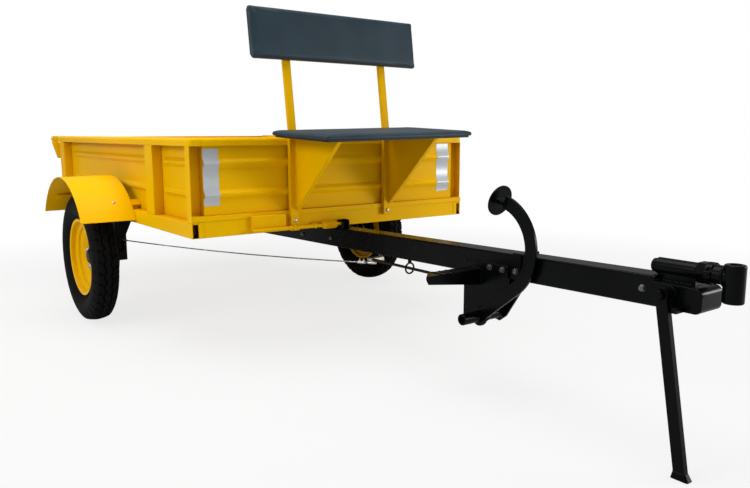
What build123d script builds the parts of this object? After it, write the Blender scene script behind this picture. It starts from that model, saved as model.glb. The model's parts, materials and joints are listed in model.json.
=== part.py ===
from build123d import *
from math import cos, radians, sin, sqrt
import os

os.makedirs("parts", exist_ok=True)

# Load bed
bed_length = 1730.0
bed_width = 1238.0
bed_top = 772.0
rail_bottom = 432.0
rail_height = 75.0
side_rail_height = 52.0
rail_width = 40.0
rail_wall = 4.0
sheet = 3.0
rim_height = 29.0
rim_round = 13.0
post_depth = 38.0
rib_depth = 10.0
rib_width = 33.0
rib_taper = 50.0

# Wheels and axle
tyre_radius = 270.0
tyre_width = 104.0
rim_radius = 164.0
wheel_setout = 111.5
axle_setback = 848.0
axle_section = 56.0
hinge_setback = 58.0
stub_radius = 17.5

# Drawbar, hitch, pedal and stand
hitch_reach = 1515.0
drawbar_width = 70.0
drawbar_height = 75.0
drawbar_wall = 5.0
drawbar_rise = 0.02
drawbar_low = 350.0
hitch_bore_radius = 13.0
hitch_tube_radius = 23.5
hitch_tube_height = 88.0
shaft_radius = 15.0
stand_lean = 10.1
pedal_reach = 712.0
foot_rest_span = 262.0

# Seat
seat_width = 630.0
seat_depth = 350.0
seat_thickness = 16.0
board_thickness = 6.0
seat_fall = 16.0
seat_roll = 13.0
seat_post_spacing = 428.0
seat_offset = -14.0
back_width = 728.0
back_height = 178.0
back_lean = 7.7

# Clearances
moving_gap = 6.0
pin_gap = 0.4
fit_gap = 0.5

# Levels and stations
half_width = bed_width / 2
track = bed_width + 2 * wheel_setout
rail_top = rail_bottom + rail_height
side_rail_top = rail_bottom + side_rail_height
floor_top = rail_top - 7.0
floor_bottom = floor_top - sheet
panel_height = bed_top - sheet - rail_top
gate_gap = 10.0
gate_depth = 22.0
gate_rib_depth = 8.0
gate_pin_setback = gate_gap + 10.0
gate_pin_drop = 14.0
lug_radius = 14.0
front_reach = hitch_reach + hitch_tube_radius
rear_reach = bed_length + gate_gap + gate_depth + gate_rib_depth
bed_front = (rear_reach - front_reach) / 2
bed_rear = bed_front - bed_length
axle_x = bed_front - axle_setback
axle_z = tyre_radius
hinge_x = axle_x - hinge_setback
hinge_z = axle_z + 115.0
inner_width = bed_width - 2 * rail_width
panel_face = half_width - post_depth
rib_levels = [rail_top + panel_height * share for share in (0.267, 0.677)]


def drawbar_bottom_at(x):
    return drawbar_low + drawbar_rise * (x - bed_front)


def drawbar_top_at(x):
    return drawbar_bottom_at(x) + drawbar_height


# Side rails of the bed: full-length tubes with open ends
with BuildPart() as side_rails:
    with BuildSketch(Plane.YZ.offset(bed_rear)):
        with Locations((half_width - rail_width / 2, rail_bottom + side_rail_height / 2)):
            Rectangle(rail_width, side_rail_height)
            Rectangle(rail_width - 2 * rail_wall, side_rail_height - 2 * rail_wall, mode=Mode.SUBTRACT)
    extrude(amount=bed_length)
    mirror(about=Plane.XZ)

# Front and rear rails: channels open to the inside, the rear one flush under the floor
end_rail_table = [
    {"face": bed_front, "into": -1, "top": rail_top},
    {"face": bed_rear, "into": 1, "top": floor_bottom},
]
end_rail_wall = 5.0
with BuildPart() as end_rails:
    for rail in end_rail_table:
        height = rail["top"] - rail_bottom
        middle = rail["face"] + rail["into"] * rail_width / 2
        with Locations((middle, 0, rail_bottom + height / 2)):
            Box(rail_width, inner_width, height)
        with Locations((middle + rail["into"] * end_rail_wall, 0, rail_bottom + height / 2)):
            Box(rail_width, inner_width, height - 2 * end_rail_wall, mode=Mode.SUBTRACT)

# Under frame: two channel bearers, cross members cut in between them and the rails
bearer_y = bed_width * 0.21
bearer_height = 60.0
bearer_width = 40.0
cross_height = 50.0
cross_width = 40.0
channel_wall = 5.0
cross_ahead = 430.0
cross_behind = 440.0
frame_length = bed_length - 2 * rail_width
cross_stations = [axle_x + cross_ahead, axle_x, axle_x - cross_behind]
with BuildPart() as bearers:
    with BuildSketch(Plane.YZ.offset(bed_rear + rail_width)):
        with Locations((bearer_y, floor_bottom - bearer_height / 2)):
            Rectangle(bearer_width, bearer_height)
        with Locations((bearer_y + channel_wall, floor_bottom - bearer_height / 2)):
            Rectangle(bearer_width, bearer_height - 2 * channel_wall, mode=Mode.SUBTRACT)
    extrude(amount=frame_length)
    mirror(about=Plane.XZ)

outer_cross = inner_width / 2 - bearer_y - bearer_width / 2
cross_table = [
    {"y": 0.0, "length": 2 * bearer_y - bearer_width},
    {"y": (inner_width / 2 + bearer_y + bearer_width / 2) / 2, "length": outer_cross},
    {"y": -(inner_width / 2 + bearer_y + bearer_width / 2) / 2, "length": outer_cross},
]
with BuildPart() as cross_members:
    for station in cross_stations:
        for cross in cross_table:
            with Locations((station, cross["y"], floor_bottom - cross_height / 2)):
                Box(cross_width, cross["length"], cross_height)
            with Locations((station + channel_wall, cross["y"], floor_bottom - cross_height / 2)):
                Box(cross_width, cross["length"], cross_height - 2 * channel_wall, mode=Mode.SUBTRACT)
    for side in (-1, 1):
        with Locations((axle_x, side * inner_width / 2, side_rail_top)):
            Box(
                bed_length,
                6.0,
                rail_height,
                align=(Align.CENTER, Align.CENTER, Align.MIN),
                mode=Mode.SUBTRACT,
            )

# Hinge lugs under the bearers
lug_thickness = 10.0
hinge_pin_radius = 10.0
lug_top = floor_bottom - bearer_height
with BuildPart() as hinge_lugs:
    with BuildSketch(Plane.XZ.offset(bearer_y - lug_thickness / 2)):
        with Locations((hinge_x, (hinge_z + lug_top) / 2)):
            Rectangle(44.0, lug_top - hinge_z)
        with Locations((hinge_x, hinge_z)):
            Circle(22.0)
            Circle(hinge_pin_radius + pin_gap, mode=Mode.SUBTRACT)
    extrude(amount=lug_thickness)
    mirror(about=Plane.XZ)

# Floor sheet with shallow stiffening swages along the bed
floor_length = bed_length - rail_width
floor_width = 2 * (panel_face - sheet - 1.0)
with BuildPart() as bed_floor:
    with Locations((bed_rear + floor_length / 2, 0, floor_top - sheet / 2)):
        Box(floor_length, floor_width, sheet)
    with BuildSketch(Plane.XY.offset(floor_top)):
        with Locations((bed_rear + floor_length / 2, 0)):
            with GridLocations(0, floor_width / 6, 1, 5):
                SlotOverall(floor_length - 180.0, 24.0)
    extrude(amount=1.5)

# Rounded corner of the rim, hollow below
rim_width = half_width - panel_face + sheet
rim_wall = 6.0
with BuildPart() as rim_corner:
    with Locations((bed_front, -half_width, bed_top)):
        Box(rail_width, rim_width, rim_height, align=(Align.MAX, Align.MIN, Align.MAX))
    outer_edges = rim_corner.edges().filter_by(
        lambda edge: (edge.center().X > bed_front - 1.0)
        + (edge.center().Y < 1.0 - half_width)
        + (edge.center().Z > bed_top - 1.0)
        == 2
    )
    fillet(outer_edges, rim_round)
    with Locations((bed_front - rim_wall, -half_width + rim_wall, bed_top - rim_wall)):
        Box(rail_width, rim_width, rim_height, align=(Align.MAX, Align.MIN, Align.MAX), mode=Mode.SUBTRACT)

# Side walls: pressed sheet set back behind the posts, with a folded rim on top
corner_step = 38.0
corner_lip = 4.0
corner_depth = corner_step + sheet
side_panel_height = bed_top - sheet - side_rail_top
side_post_setback = 351.0
side_post_width = 80.0
rear_post_width = 71.0
post_table = [
    {"front": side_post_setback, "rear": side_post_setback + side_post_width},
    {"front": bed_length - rail_width - rear_post_width, "rear": bed_length - rail_width},
]
rib_inset = 14.0
rib_post_inset = 30.0
rib_rear_inset = 75.0
wall_front = bed_front - corner_depth
wall_rear = bed_front - post_table[1]["rear"]
front_bay_rear = bed_front - post_table[0]["front"]
rear_bay_front = bed_front - post_table[0]["rear"]
rear_bay_rear = bed_front - post_table[1]["front"]
rib_spans = [
    (front_bay_rear + rib_post_inset, wall_front - rib_inset),
    (rear_bay_rear + rib_rear_inset, rear_bay_front - rib_post_inset),
]
with BuildPart() as side_wall_right:
    with BuildSketch(Plane.XZ.offset(panel_face - sheet)):
        with Locations(((wall_front + wall_rear) / 2, side_rail_top + side_panel_height / 2)):
            Rectangle(wall_front - wall_rear, side_panel_height)
    extrude(amount=sheet)
    for level in rib_levels:
        for start, end in rib_spans:
            with BuildSketch(Plane.XZ.offset(panel_face)):
                with Locations(((start + end) / 2, level)):
                    Rectangle(end - start, rib_width)
            extrude(amount=rib_depth, taper=rib_taper)
            with BuildSketch(Plane.XZ.offset(panel_face - sheet)):
                with Locations(((start + end) / 2, level)):
                    Rectangle(end - start - 2.0, rib_width - 2.0)
            extrude(amount=rib_depth, taper=rib_taper, mode=Mode.SUBTRACT)
    with BuildSketch(Plane.YZ.offset(bed_rear)):
        with BuildLine():
            over = FilletPolyline(
                (-panel_face + sheet, bed_top),
                (-half_width, bed_top),
                (-half_width, bed_top - rim_height),
                radius=rim_round,
            )
            under = FilletPolyline(
                (-panel_face + sheet, bed_top - sheet),
                (-half_width + sheet, bed_top - sheet),
                (-half_width + sheet, bed_top - rim_height),
                radius=rim_round - sheet,
            )
            Line(over @ 0, under @ 0)
            Line(over @ 1, under @ 1)
        make_face()
    extrude(amount=bed_length - rail_width)
    add(rim_corner.part)

with BuildPart() as side_wall_left:
    mirror(side_wall_right.part, about=Plane.XZ)

# Front wall: pressed sheet with full-width ribs, returned edges and a folded rim
front_face = bed_front - rib_depth
corner_width = 49.0
front_half = half_width - corner_width
front_rim_half = panel_face - sheet
return_depth = corner_step - rib_depth
with BuildPart() as front_wall:
    with Locations((front_face - sheet / 2, 0, rail_top + panel_height / 2)):
        Box(sheet, 2 * front_half, panel_height)
    for side in (-1, 1):
        edge_y = side * (front_half - sheet / 2)
        with Locations((front_face - return_depth / 2, edge_y, rail_top + panel_height / 2)):
            Box(return_depth, sheet, panel_height)
    for level in rib_levels:
        with BuildSketch(Plane.YZ.offset(front_face)):
            with Locations((0, level)):
                Rectangle(2 * (front_half - rib_inset), rib_width)
        extrude(amount=rib_depth, taper=rib_taper)
        with BuildSketch(Plane.YZ.offset(front_face - sheet)):
            with Locations((0, level)):
                Rectangle(2 * (front_half - rib_inset) - 2.0, rib_width - 2.0)
        extrude(amount=rib_depth, taper=rib_taper, mode=Mode.SUBTRACT)
    with BuildSketch(Plane.XZ.offset(-front_rim_half)):
        with BuildLine():
            over = FilletPolyline(
                (bed_front - rail_width, bed_top),
                (bed_front, bed_top),
                (bed_front, bed_top - rim_height),
                radius=rim_round,
            )
            under = FilletPolyline(
                (bed_front - rail_width, bed_top - sheet),
                (bed_front - sheet, bed_top - sheet),
                (bed_front - sheet, bed_top - rim_height),
                radius=rim_round - sheet,
            )
            Line(over @ 0, under @ 0)
            Line(over @ 1, under @ 1)
        make_face()
    extrude(amount=2 * front_rim_half)

# Wall posts: angles round a pocket at the front corners, channels along the sides
post_top = bed_top - rim_height
post_lap = 7.0
with BuildPart() as wall_posts:
    with BuildSketch(Plane.XY.offset(rail_top)):
        with BuildLine():
            Polyline(
                (bed_front - corner_step, -front_half + post_lap),
                (bed_front - corner_step, -half_width + sheet),
                (bed_front - corner_lip, -half_width + sheet),
                (bed_front - corner_lip, -half_width),
                (bed_front - corner_depth, -half_width),
                (bed_front - corner_depth, -front_half + post_lap),
                close=True,
            )
        make_face()
    extrude(amount=post_top - rail_top)
    with Locations((bed_front, -half_width, side_rail_top)):
        Box(
            corner_depth,
            rail_width,
            rail_top - side_rail_top,
            align=(Align.MAX, Align.MIN, Align.MIN),
        )
    with BuildSketch(Plane.XY.offset(side_rail_top)):
        for post in post_table:
            width = post["rear"] - post["front"]
            middle = bed_front - (post["front"] + post["rear"]) / 2
            with Locations((middle, -half_width + post_depth / 2)):
                Rectangle(width, post_depth)
            with Locations((middle, -half_width + post_depth / 2 + sheet)):
                Rectangle(width - 2 * sheet, post_depth, mode=Mode.SUBTRACT)
    extrude(amount=post_top - side_rail_top)
    mirror(about=Plane.XZ)

# Mudguards: rolled sheet round the wheel, carried by flat bars off the side walls
guard_radius = tyre_radius + 67.0
guard_sheet = 2.5
guard_half_angle = 59.0
guard_edge = track / 2 + 100.0
bar_angle = 44.0
bar_width = 30.0
bar_thickness = 8.0
with BuildPart() as fenders:
    with BuildSketch(Plane.XZ.offset(half_width)):
        with BuildLine():
            under = CenterArc((axle_x, axle_z), guard_radius, 90.0 - guard_half_angle, 2 * guard_half_angle)
            over = CenterArc(
                (axle_x, axle_z), guard_radius + guard_sheet, 90.0 - guard_half_angle, 2 * guard_half_angle
            )
            Line(under @ 0, over @ 0)
            Line(under @ 1, over @ 1)
        make_face()
    extrude(amount=guard_edge - half_width)
    mirror(about=Plane.XZ)

bar_radius = guard_radius - bar_thickness / 2 - 0.5
with BuildPart() as fender_bars:
    with BuildSketch(Plane.XZ.offset(panel_face)):
        for angle in (-bar_angle, bar_angle):
            place = (axle_x + bar_radius * sin(radians(angle)), axle_z + bar_radius * cos(radians(angle)))
            with Locations(place):
                Rectangle(bar_width, bar_thickness, rotation=-angle)
    extrude(amount=guard_edge - panel_face - 40.0)
    mirror(about=Plane.XZ)

# Seat posts: tubes up the front wall, cranked back above the seat
post_width = 34.0
post_thickness = 18.0
upright_width = 30.0
upright_thickness = 15.0
crank_z = bed_top - sheet
back_middle_z = bed_top + 360.0
post_rows = [seat_offset - seat_post_spacing / 2, seat_offset + seat_post_spacing / 2]
post_feet = [rail_bottom, rail_bottom + 32.0]
lean = radians(back_lean)
upright_length = (back_middle_z + back_height * 0.36 - crank_z) / cos(lean)
with BuildPart() as seat_posts:
    for row, foot in zip(post_rows, post_feet):
        with Locations((bed_front + post_thickness / 2, row, (foot + crank_z) / 2)):
            Box(post_thickness, post_width, crank_z - foot)
        crank = Plane(
            origin=(bed_front + post_thickness / 2, row, crank_z - 4.0),
            x_dir=(0, 1, 0),
            z_dir=(-sin(lean), 0, cos(lean)),
        )
        with BuildSketch(crank):
            RectangleRounded(upright_width, upright_thickness, 3.0)
        extrude(amount=upright_length)

# Seat gussets: triangular webs with the sloping and top edges folded over
seat_rear = bed_front + post_thickness + 2.0
seat_middle = seat_rear + seat_depth / 2
seat_level = bed_top - 1.5
gusset_reach = seat_depth * 0.803
gusset_low = rail_top - 2.0
fold = 13.0


def seat_under(x, y):
    return seat_level - seat_fall / seat_depth * (x - seat_middle) + seat_roll / seat_width * y


with BuildPart() as seat_gussets:
    for row in post_rows:
        gusset_tip_x = bed_front + post_thickness + gusset_reach
        heel = (bed_front + post_thickness, gusset_low)
        corner = (bed_front + post_thickness, seat_under(bed_front + post_thickness, row))
        tip = (gusset_tip_x, seat_under(gusset_tip_x, row))
        slope = sqrt(gusset_reach**2 + (tip[1] - gusset_low) ** 2)
        inward = (-sheet * (tip[1] - gusset_low) / slope, sheet * gusset_reach / slope)
        web = Plane.XZ.offset(-row - 8.0)
        with BuildSketch(web):
            with BuildLine():
                Polyline(heel, corner, tip, close=True)
            make_face()
        extrude(amount=sheet)
        with BuildSketch(web):
            with BuildLine():
                Polyline(
                    heel,
                    tip,
                    (tip[0] + 2 * inward[0], tip[1]),
                    (heel[0], heel[1] + 2 * inward[1]),
                    close=True,
                )
            make_face()
            with BuildLine():
                Polyline(corner, tip, (tip[0], tip[1] - sheet), (corner[0], corner[1] - sheet), close=True)
            make_face()
        extrude(amount=-fold)

# Seat board and cushion
seat_corner = 10.0
seat_plane = Plane(
    origin=(seat_middle, 0, seat_level + 0.2),
    x_dir=(1, 0, -seat_fall / seat_depth),
    z_dir=(seat_fall / seat_depth, -seat_roll / seat_width, 1),
)
with BuildPart() as seat_board:
    with BuildSketch(seat_plane):
        RectangleRounded(seat_depth - 10.0, seat_width - 10.0, seat_corner - 4.0)
    extrude(amount=board_thickness)

with BuildPart() as seat_pad:
    with BuildSketch(seat_plane.offset(board_thickness)):
        RectangleRounded(seat_depth, seat_width, seat_corner)
    extrude(amount=seat_thickness)
    fillet(seat_pad.faces().sort_by(Axis.Z)[-1].edges(), seat_thickness * 0.4)

# Backrest board and cushion, on the front of the uprights
back_rise = back_middle_z - crank_z
back_setback = back_rise * sin(lean) / cos(lean) - upright_thickness / 2 * cos(lean) - 0.3
back_face = Plane(
    origin=(
        bed_front + post_thickness / 2 - back_setback,
        seat_offset,
        back_middle_z + upright_thickness / 2 * sin(lean),
    ),
    x_dir=(0, 1, 0),
    z_dir=(cos(lean), 0, sin(lean)),
)
back_board_thickness = 6.0
back_pad_thickness = 18.0
with BuildPart() as back_board:
    with BuildSketch(back_face):
        RectangleRounded(back_width - 8.0, back_height - 8.0, 10.0)
    extrude(amount=back_board_thickness)

with BuildPart() as back_pad:
    with BuildSketch(back_face.offset(back_board_thickness)):
        RectangleRounded(back_width, back_height, 12.0)
    extrude(amount=back_pad_thickness)
    fillet(back_pad.faces().sort_by(Axis.X)[-1].edges(), back_pad_thickness * 0.4)

# Folded box plate on the front rail, behind the latch bolt's handle end
plate_low = rail_bottom + 9.0
plate_height = 56.0
plate_near = -403.0
plate_far = -265.0
plate_length = plate_far - plate_near
with BuildPart() as latch_plate:
    with Locations((bed_front, plate_near, plate_low)):
        Box(post_thickness, plate_length, plate_height, align=Align.MIN)
    fillet(latch_plate.faces().sort_by(Axis.X)[-1].edges(), 4.0)
    with Locations((bed_front, plate_near + sheet, plate_low + sheet)):
        Box(
            post_thickness - sheet,
            plate_length - 2 * sheet,
            plate_height - 2 * sheet,
            align=Align.MIN,
            mode=Mode.SUBTRACT,
        )

# Bed latch: a spring bolt in a barrel, guided by keepers on the seat post and the front rail
bolt_x = bed_front + post_thickness + 10.0
bolt_z = rail_bottom + 13.0
bolt_radius = 6.0
bolt_end = -26.0
keeper_table = [
    {"y": post_rows[0] - 10.0, "root": bed_front + post_thickness, "width": 8.0},
    {"y": -150.0, "root": bed_front, "width": 8.0},
]
with BuildPart() as latch_bolt:
    with BuildSketch(Plane.XZ.offset(-bolt_end)):
        with Locations((bolt_x, bolt_z)):
            Circle(bolt_radius)
    extrude(amount=380.0)
    with BuildSketch(Plane.XZ.offset(60.0)):
        with Locations((bolt_x, bolt_z)):
            Circle(bolt_radius + 7.0)
    extrude(amount=55.0)
    with Locations(((bed_front + bolt_x) / 2, -88.0, bolt_z)):
        Box(bolt_x - bed_front, 40.0, 8.0)
    for keeper in keeper_table:
        with Locations(((keeper["root"] + bolt_x + 8.0) / 2, keeper["y"], bolt_z)):
            Box(bolt_x + 8.0 - keeper["root"], keeper["width"], 18.0)

# Tailgate lugs under the rear ends of the rims
gate_x = bed_rear - gate_pin_setback
gate_z = bed_top - gate_pin_drop
gate_pin_radius = 6.0
lug_inner = half_width - 25.0
lug_width = 12.0
with BuildPart() as gate_lugs:
    with BuildSketch(Plane.XZ.offset(lug_inner)):
        with Locations(((gate_x + wall_rear - 1.0) / 2, bed_top - sheet - 12.5)):
            Rectangle(wall_rear - 1.0 - gate_x, 25.0)
        with Locations((gate_x, gate_z)):
            Circle(lug_radius)
            Circle(gate_pin_radius + pin_gap, mode=Mode.SUBTRACT)
    extrude(amount=lug_width)
    mirror(about=Plane.XZ)

# Tailgate: ribbed skin with edges folded towards the bed, hung from its upper corners
gate_half = lug_inner - moving_gap - 2.0
gate_inner = bed_rear - gate_gap
gate_face = gate_inner - gate_depth
gate_bottom = rail_bottom + 8.0
gate_top = gate_z + gate_pin_radius + 4.0
gate_height = gate_top - gate_bottom
gate_rib_half = gate_half - 40.0
with BuildPart() as tailgate:
    with Locations((gate_inner - gate_depth / 2, 0, gate_bottom + gate_height / 2)):
        Box(gate_depth, 2 * gate_half, gate_height)
    with Locations((gate_inner + sheet - gate_depth / 2, 0, gate_bottom + gate_height / 2)):
        Box(gate_depth, 2 * (gate_half - sheet), gate_height - 2 * sheet, mode=Mode.SUBTRACT)
    for level in rib_levels:
        with BuildSketch(Plane.YZ.offset(gate_face)):
            with Locations((0, level)):
                Rectangle(2 * gate_rib_half, rib_width)
        extrude(amount=-gate_rib_depth, taper=rib_taper)
        with BuildSketch(Plane.YZ.offset(gate_face + sheet)):
            with Locations((0, level)):
                Rectangle(2 * gate_rib_half - 2.0, rib_width - 2.0)
        extrude(amount=-gate_rib_depth, taper=rib_taper, mode=Mode.SUBTRACT)

# Tapered ears that carry the tailgate pins outside the lugs
ear_edge = half_width + 22.0
ear_inner = lug_inner + lug_width + moving_gap
ear_shoulder = gate_z - lug_radius - moving_gap
with BuildPart() as gate_ears:
    with BuildSketch(Plane.YZ.offset(gate_x - 5.0)):
        with BuildLine():
            Polyline(
                (-gate_half, ear_shoulder - 80.0),
                (-half_width, ear_shoulder - 80.0),
                (-ear_edge, ear_shoulder - 4.0),
                (-ear_edge, gate_z + gate_pin_drop),
                (-ear_inner, gate_z + gate_pin_drop),
                (-ear_inner, ear_shoulder),
                (-gate_half, ear_shoulder),
                close=True,
            )
        make_face()
    extrude(amount=10.0)
    with BuildSketch(Plane.XZ.offset(gate_half)):
        with Locations((gate_x, gate_z)):
            Circle(gate_pin_radius)
    extrude(amount=ear_edge - gate_half)
    mirror(about=Plane.XZ)

# Wheels: profile tables hold the distance outboard of the wheel's middle plane and the radius
wheel_y = track / 2
wheel_axis = Axis((axle_x, 0, axle_z), (0, 1, 0))
rim_sheet = 4.0
bead_radius = rim_radius - 12.0
well_radius = rim_radius - 34.0
flange_half = tyre_width / 2 - 16.0
hub_face = -22.0


def wheel_point(outboard, radius):
    return (-wheel_y - outboard, axle_z + radius)


with BuildPart() as tyre_right:
    with BuildSketch(Plane.YZ.offset(axle_x)):
        with BuildLine():
            bead = bead_radius + rim_sheet / 2 + fit_gap
            bead_half = flange_half - 9.0
            collar = rim_radius + 5.0
            collar_half = flange_half - 5.0
            tread_half = tyre_width * 0.36
            shoulder = tyre_radius - 7.0
            for side in (-1, 1):
                Line(wheel_point(side * bead_half, bead), wheel_point(side * collar_half, collar))
                ThreePointArc(
                    wheel_point(side * collar_half, collar),
                    wheel_point(side * tyre_width / 2, (collar + shoulder) / 2),
                    wheel_point(side * tread_half, shoulder),
                )
            ThreePointArc(
                wheel_point(-tread_half, shoulder),
                wheel_point(0, tyre_radius),
                wheel_point(tread_half, shoulder),
            )
            Line(wheel_point(-bead_half, bead), wheel_point(bead_half, bead))
        make_face()
    revolve(axis=wheel_axis)

with BuildPart() as tyre_left:
    mirror(tyre_right.part, about=Plane.XZ)

with BuildPart() as rim_right:
    with BuildSketch(Plane.YZ.offset(axle_x)):
        with BuildLine():
            Polyline(
                wheel_point(-flange_half, rim_radius - 2.0),
                wheel_point(-flange_half + 2.0, bead_radius),
                wheel_point(-20.0, bead_radius - 2.0),
                wheel_point(-13.0, well_radius),
                wheel_point(9.0, well_radius),
                wheel_point(16.0, bead_radius - 2.0),
                wheel_point(flange_half - 2.0, bead_radius),
                wheel_point(flange_half, rim_radius - 2.0),
            )
        trace(line_width=rim_sheet)
        with BuildLine():
            Polyline(
                wheel_point(hub_face + rim_sheet / 2, 43.0),
                wheel_point(hub_face + rim_sheet / 2, well_radius * 0.62),
                wheel_point(0.0, well_radius * 0.78),
                wheel_point(2.0, well_radius),
            )
        trace(line_width=rim_sheet)
    revolve(axis=wheel_axis)

with BuildPart() as rim_left:
    mirror(rim_right.part, about=Plane.XZ)

# Hubs: barrel and cap outside the disc, brake drum open to the inside
drum_radius = 100.0
drum_wall = 8.0
drum_depth = 60.0
with BuildPart() as hub_right:
    with BuildSketch(Plane.YZ.offset(axle_x)):
        with BuildLine():
            Polyline(
                wheel_point(hub_face - 8.0, stub_radius + fit_gap),
                wheel_point(hub_face - 8.0, drum_radius - drum_wall),
                wheel_point(hub_face - drum_depth, drum_radius - drum_wall),
                wheel_point(hub_face - drum_depth, drum_radius),
                wheel_point(hub_face, drum_radius),
                wheel_point(hub_face, 40.0),
                wheel_point(hub_face + 20.0, 36.0),
                wheel_point(hub_face + 20.0, 30.0),
                wheel_point(hub_face + 29.0, 26.0),
                wheel_point(hub_face + 33.0, 0.0),
                wheel_point(hub_face + 22.0, 0.0),
                wheel_point(hub_face + 22.0, stub_radius + fit_gap),
                close=True,
            )
        make_face()
    revolve(axis=wheel_axis)

with BuildPart() as hub_left:
    mirror(hub_right.part, about=Plane.XZ)

# Axle: cranked beam close under the bed, deeper at the drawbar, with drop legs, end flanges and round stubs
drum_mouth = wheel_y + hub_face - drum_depth
plate_face = drum_mouth - moving_gap
plate_thickness = 6.0
flange_thickness = 6.0
beam_half = plate_face - plate_thickness - flange_thickness
stub_end = wheel_y + hub_face + 16.0
beam_rear = axle_x - axle_section / 2
beam_front = axle_x + axle_section / 2
beam_top = rail_bottom - moving_gap - 1.0
beam_low = drawbar_bottom_at(beam_front)
leg_inner = beam_half - 46.0
leg_low = axle_z - 24.0
leg_half = 42.0
with BuildPart() as axle:
    with BuildSketch(Plane.YZ.offset(beam_rear)):
        with BuildLine():
            Polyline(
                (0, beam_top),
                (-leg_inner, beam_top),
                (-leg_inner, beam_top - 80.0),
                (-leg_inner + 28.0, beam_top - 18.0),
                (-drawbar_width / 2 - 85.0, beam_low),
                (0, beam_low),
                close=True,
            )
        make_face()
    extrude(amount=axle_section)
    mirror(about=Plane.XZ)
    for side in (-1, 1):
        with Locations((axle_x, side * (leg_inner + beam_half) / 2, (leg_low + beam_top) / 2)):
            Box(2 * leg_half, beam_half - leg_inner, beam_top - leg_low)
    for side in (-1, 1):
        with BuildSketch(Plane.XZ.offset(side * beam_half)):
            with Locations((axle_x, axle_z)):
                Circle(46.0)
        extrude(amount=side * flange_thickness)
        with BuildSketch(Plane.XZ.offset(side * beam_half)):
            with Locations((axle_x, axle_z)):
                Circle(stub_radius)
        extrude(amount=side * (stub_end - beam_half))

# Brake plates behind the drums, with their cam levers
lever_x = axle_x + 78.0
lever_low = axle_z + 22.0
lever_high = axle_z + 72.0
lever_y = beam_half - 14.0
plate_radius = drum_radius + 4.0
with BuildPart() as brake_plates:
    with BuildSketch(Plane.XZ.offset(plate_face - plate_thickness)):
        with Locations((axle_x, axle_z)):
            Circle(plate_radius)
            Circle(stub_radius + fit_gap, mode=Mode.SUBTRACT)
    extrude(amount=plate_thickness)
    with BuildSketch(Plane.XZ.offset(lever_y)):
        with Locations((lever_x, lever_low)):
            Circle(9.0)
    extrude(amount=plate_face - plate_thickness - lever_y)
    with BuildSketch(Plane.XZ.offset(lever_y - 6.0)):
        with BuildLine():
            Line((lever_x, lever_low), (lever_x + 12.0, lever_high))
        trace(line_width=22.0)
    extrude(amount=6.0)
    mirror(about=Plane.XZ)

# Drawbar: sloping rectangular tube from the axle to the hitch head
head_rear = bed_front + hitch_reach - 170.0
drawbar_rear = beam_front
with BuildPart() as drawbar:
    with BuildSketch(Plane.XZ.offset(-drawbar_width / 2)):
        with BuildLine():
            Polyline(
                (drawbar_rear, drawbar_bottom_at(drawbar_rear)),
                (head_rear, drawbar_bottom_at(head_rear)),
                (head_rear, drawbar_top_at(head_rear)),
                (drawbar_rear, drawbar_top_at(drawbar_rear)),
                close=True,
            )
        make_face()
    extrude(amount=drawbar_width)
    fillet(drawbar.edges().filter_by(lambda edge: edge.length > hitch_reach), 6.0)
    with BuildSketch(Plane.XZ.offset(-drawbar_width / 2 + drawbar_wall)):
        with BuildLine():
            Polyline(
                (drawbar_rear, drawbar_bottom_at(drawbar_rear) + drawbar_wall),
                (head_rear, drawbar_bottom_at(head_rear) + drawbar_wall),
                (head_rear, drawbar_top_at(head_rear) - drawbar_wall),
                (drawbar_rear, drawbar_top_at(drawbar_rear) - drawbar_wall),
                close=True,
            )
        make_face()
    extrude(amount=drawbar_width - 2 * drawbar_wall, mode=Mode.SUBTRACT)

# Corner plates between the axle beam and the sides of the drawbar
corner_plate = 110.0
corner_plate_z = beam_low + drawbar_height / 2
with BuildPart() as axle_gussets:
    with BuildSketch(Plane.XY.offset(corner_plate_z)):
        with BuildLine():
            Polyline(
                (beam_front, -drawbar_width / 2),
                (beam_front + corner_plate, -drawbar_width / 2),
                (beam_front + corner_plate, -drawbar_width / 2 - 12.0),
                (beam_front + 12.0, -drawbar_width / 2 - corner_plate),
                (beam_front, -drawbar_width / 2 - corner_plate),
                close=True,
            )
        make_face()
    extrude(amount=8.0)
    mirror(about=Plane.XZ)

# Bed hinge: pairs of cheeks behind the axle beam with a pin across each
cheek_thickness = 8.0
cheek_gap = lug_thickness / 2 + moving_gap
with BuildPart() as hinge_cheeks:
    for side in (-1, 1):
        for cheek in (-1, 1):
            near = side * bearer_y + cheek * cheek_gap
            with BuildSketch(Plane.XZ.offset(near)):
                with BuildLine():
                    Polyline(
                        (beam_rear, hinge_z - 20.0),
                        (beam_rear, hinge_z + 20.0),
                        (hinge_x, hinge_z + 20.0),
                        (hinge_x, hinge_z - 20.0),
                        close=True,
                    )
                make_face()
                with Locations((hinge_x, hinge_z)):
                    Circle(20.0)
            extrude(amount=cheek * cheek_thickness)
        with BuildSketch(Plane.XZ.offset(side * bearer_y - cheek_gap - cheek_thickness - 6.0)):
            with Locations((hinge_x, hinge_z)):
                Circle(hinge_pin_radius)
        extrude(amount=2 * (cheek_gap + cheek_thickness + 6.0))

# Rest pad under the front rail and the catch for the latch bolt
pad_x = bed_front - rail_width / 2
with BuildPart() as bed_rest:
    with BuildSketch(Plane.XZ.offset(-28.0)):
        with BuildLine():
            Polyline(
                (pad_x - 30.0, drawbar_top_at(pad_x - 30.0)),
                (pad_x + 30.0, drawbar_top_at(pad_x + 30.0)),
                (pad_x + 30.0, rail_bottom - 1.5),
                (pad_x - 30.0, rail_bottom - 1.5),
                close=True,
            )
        make_face()
    extrude(amount=56.0)

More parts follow.
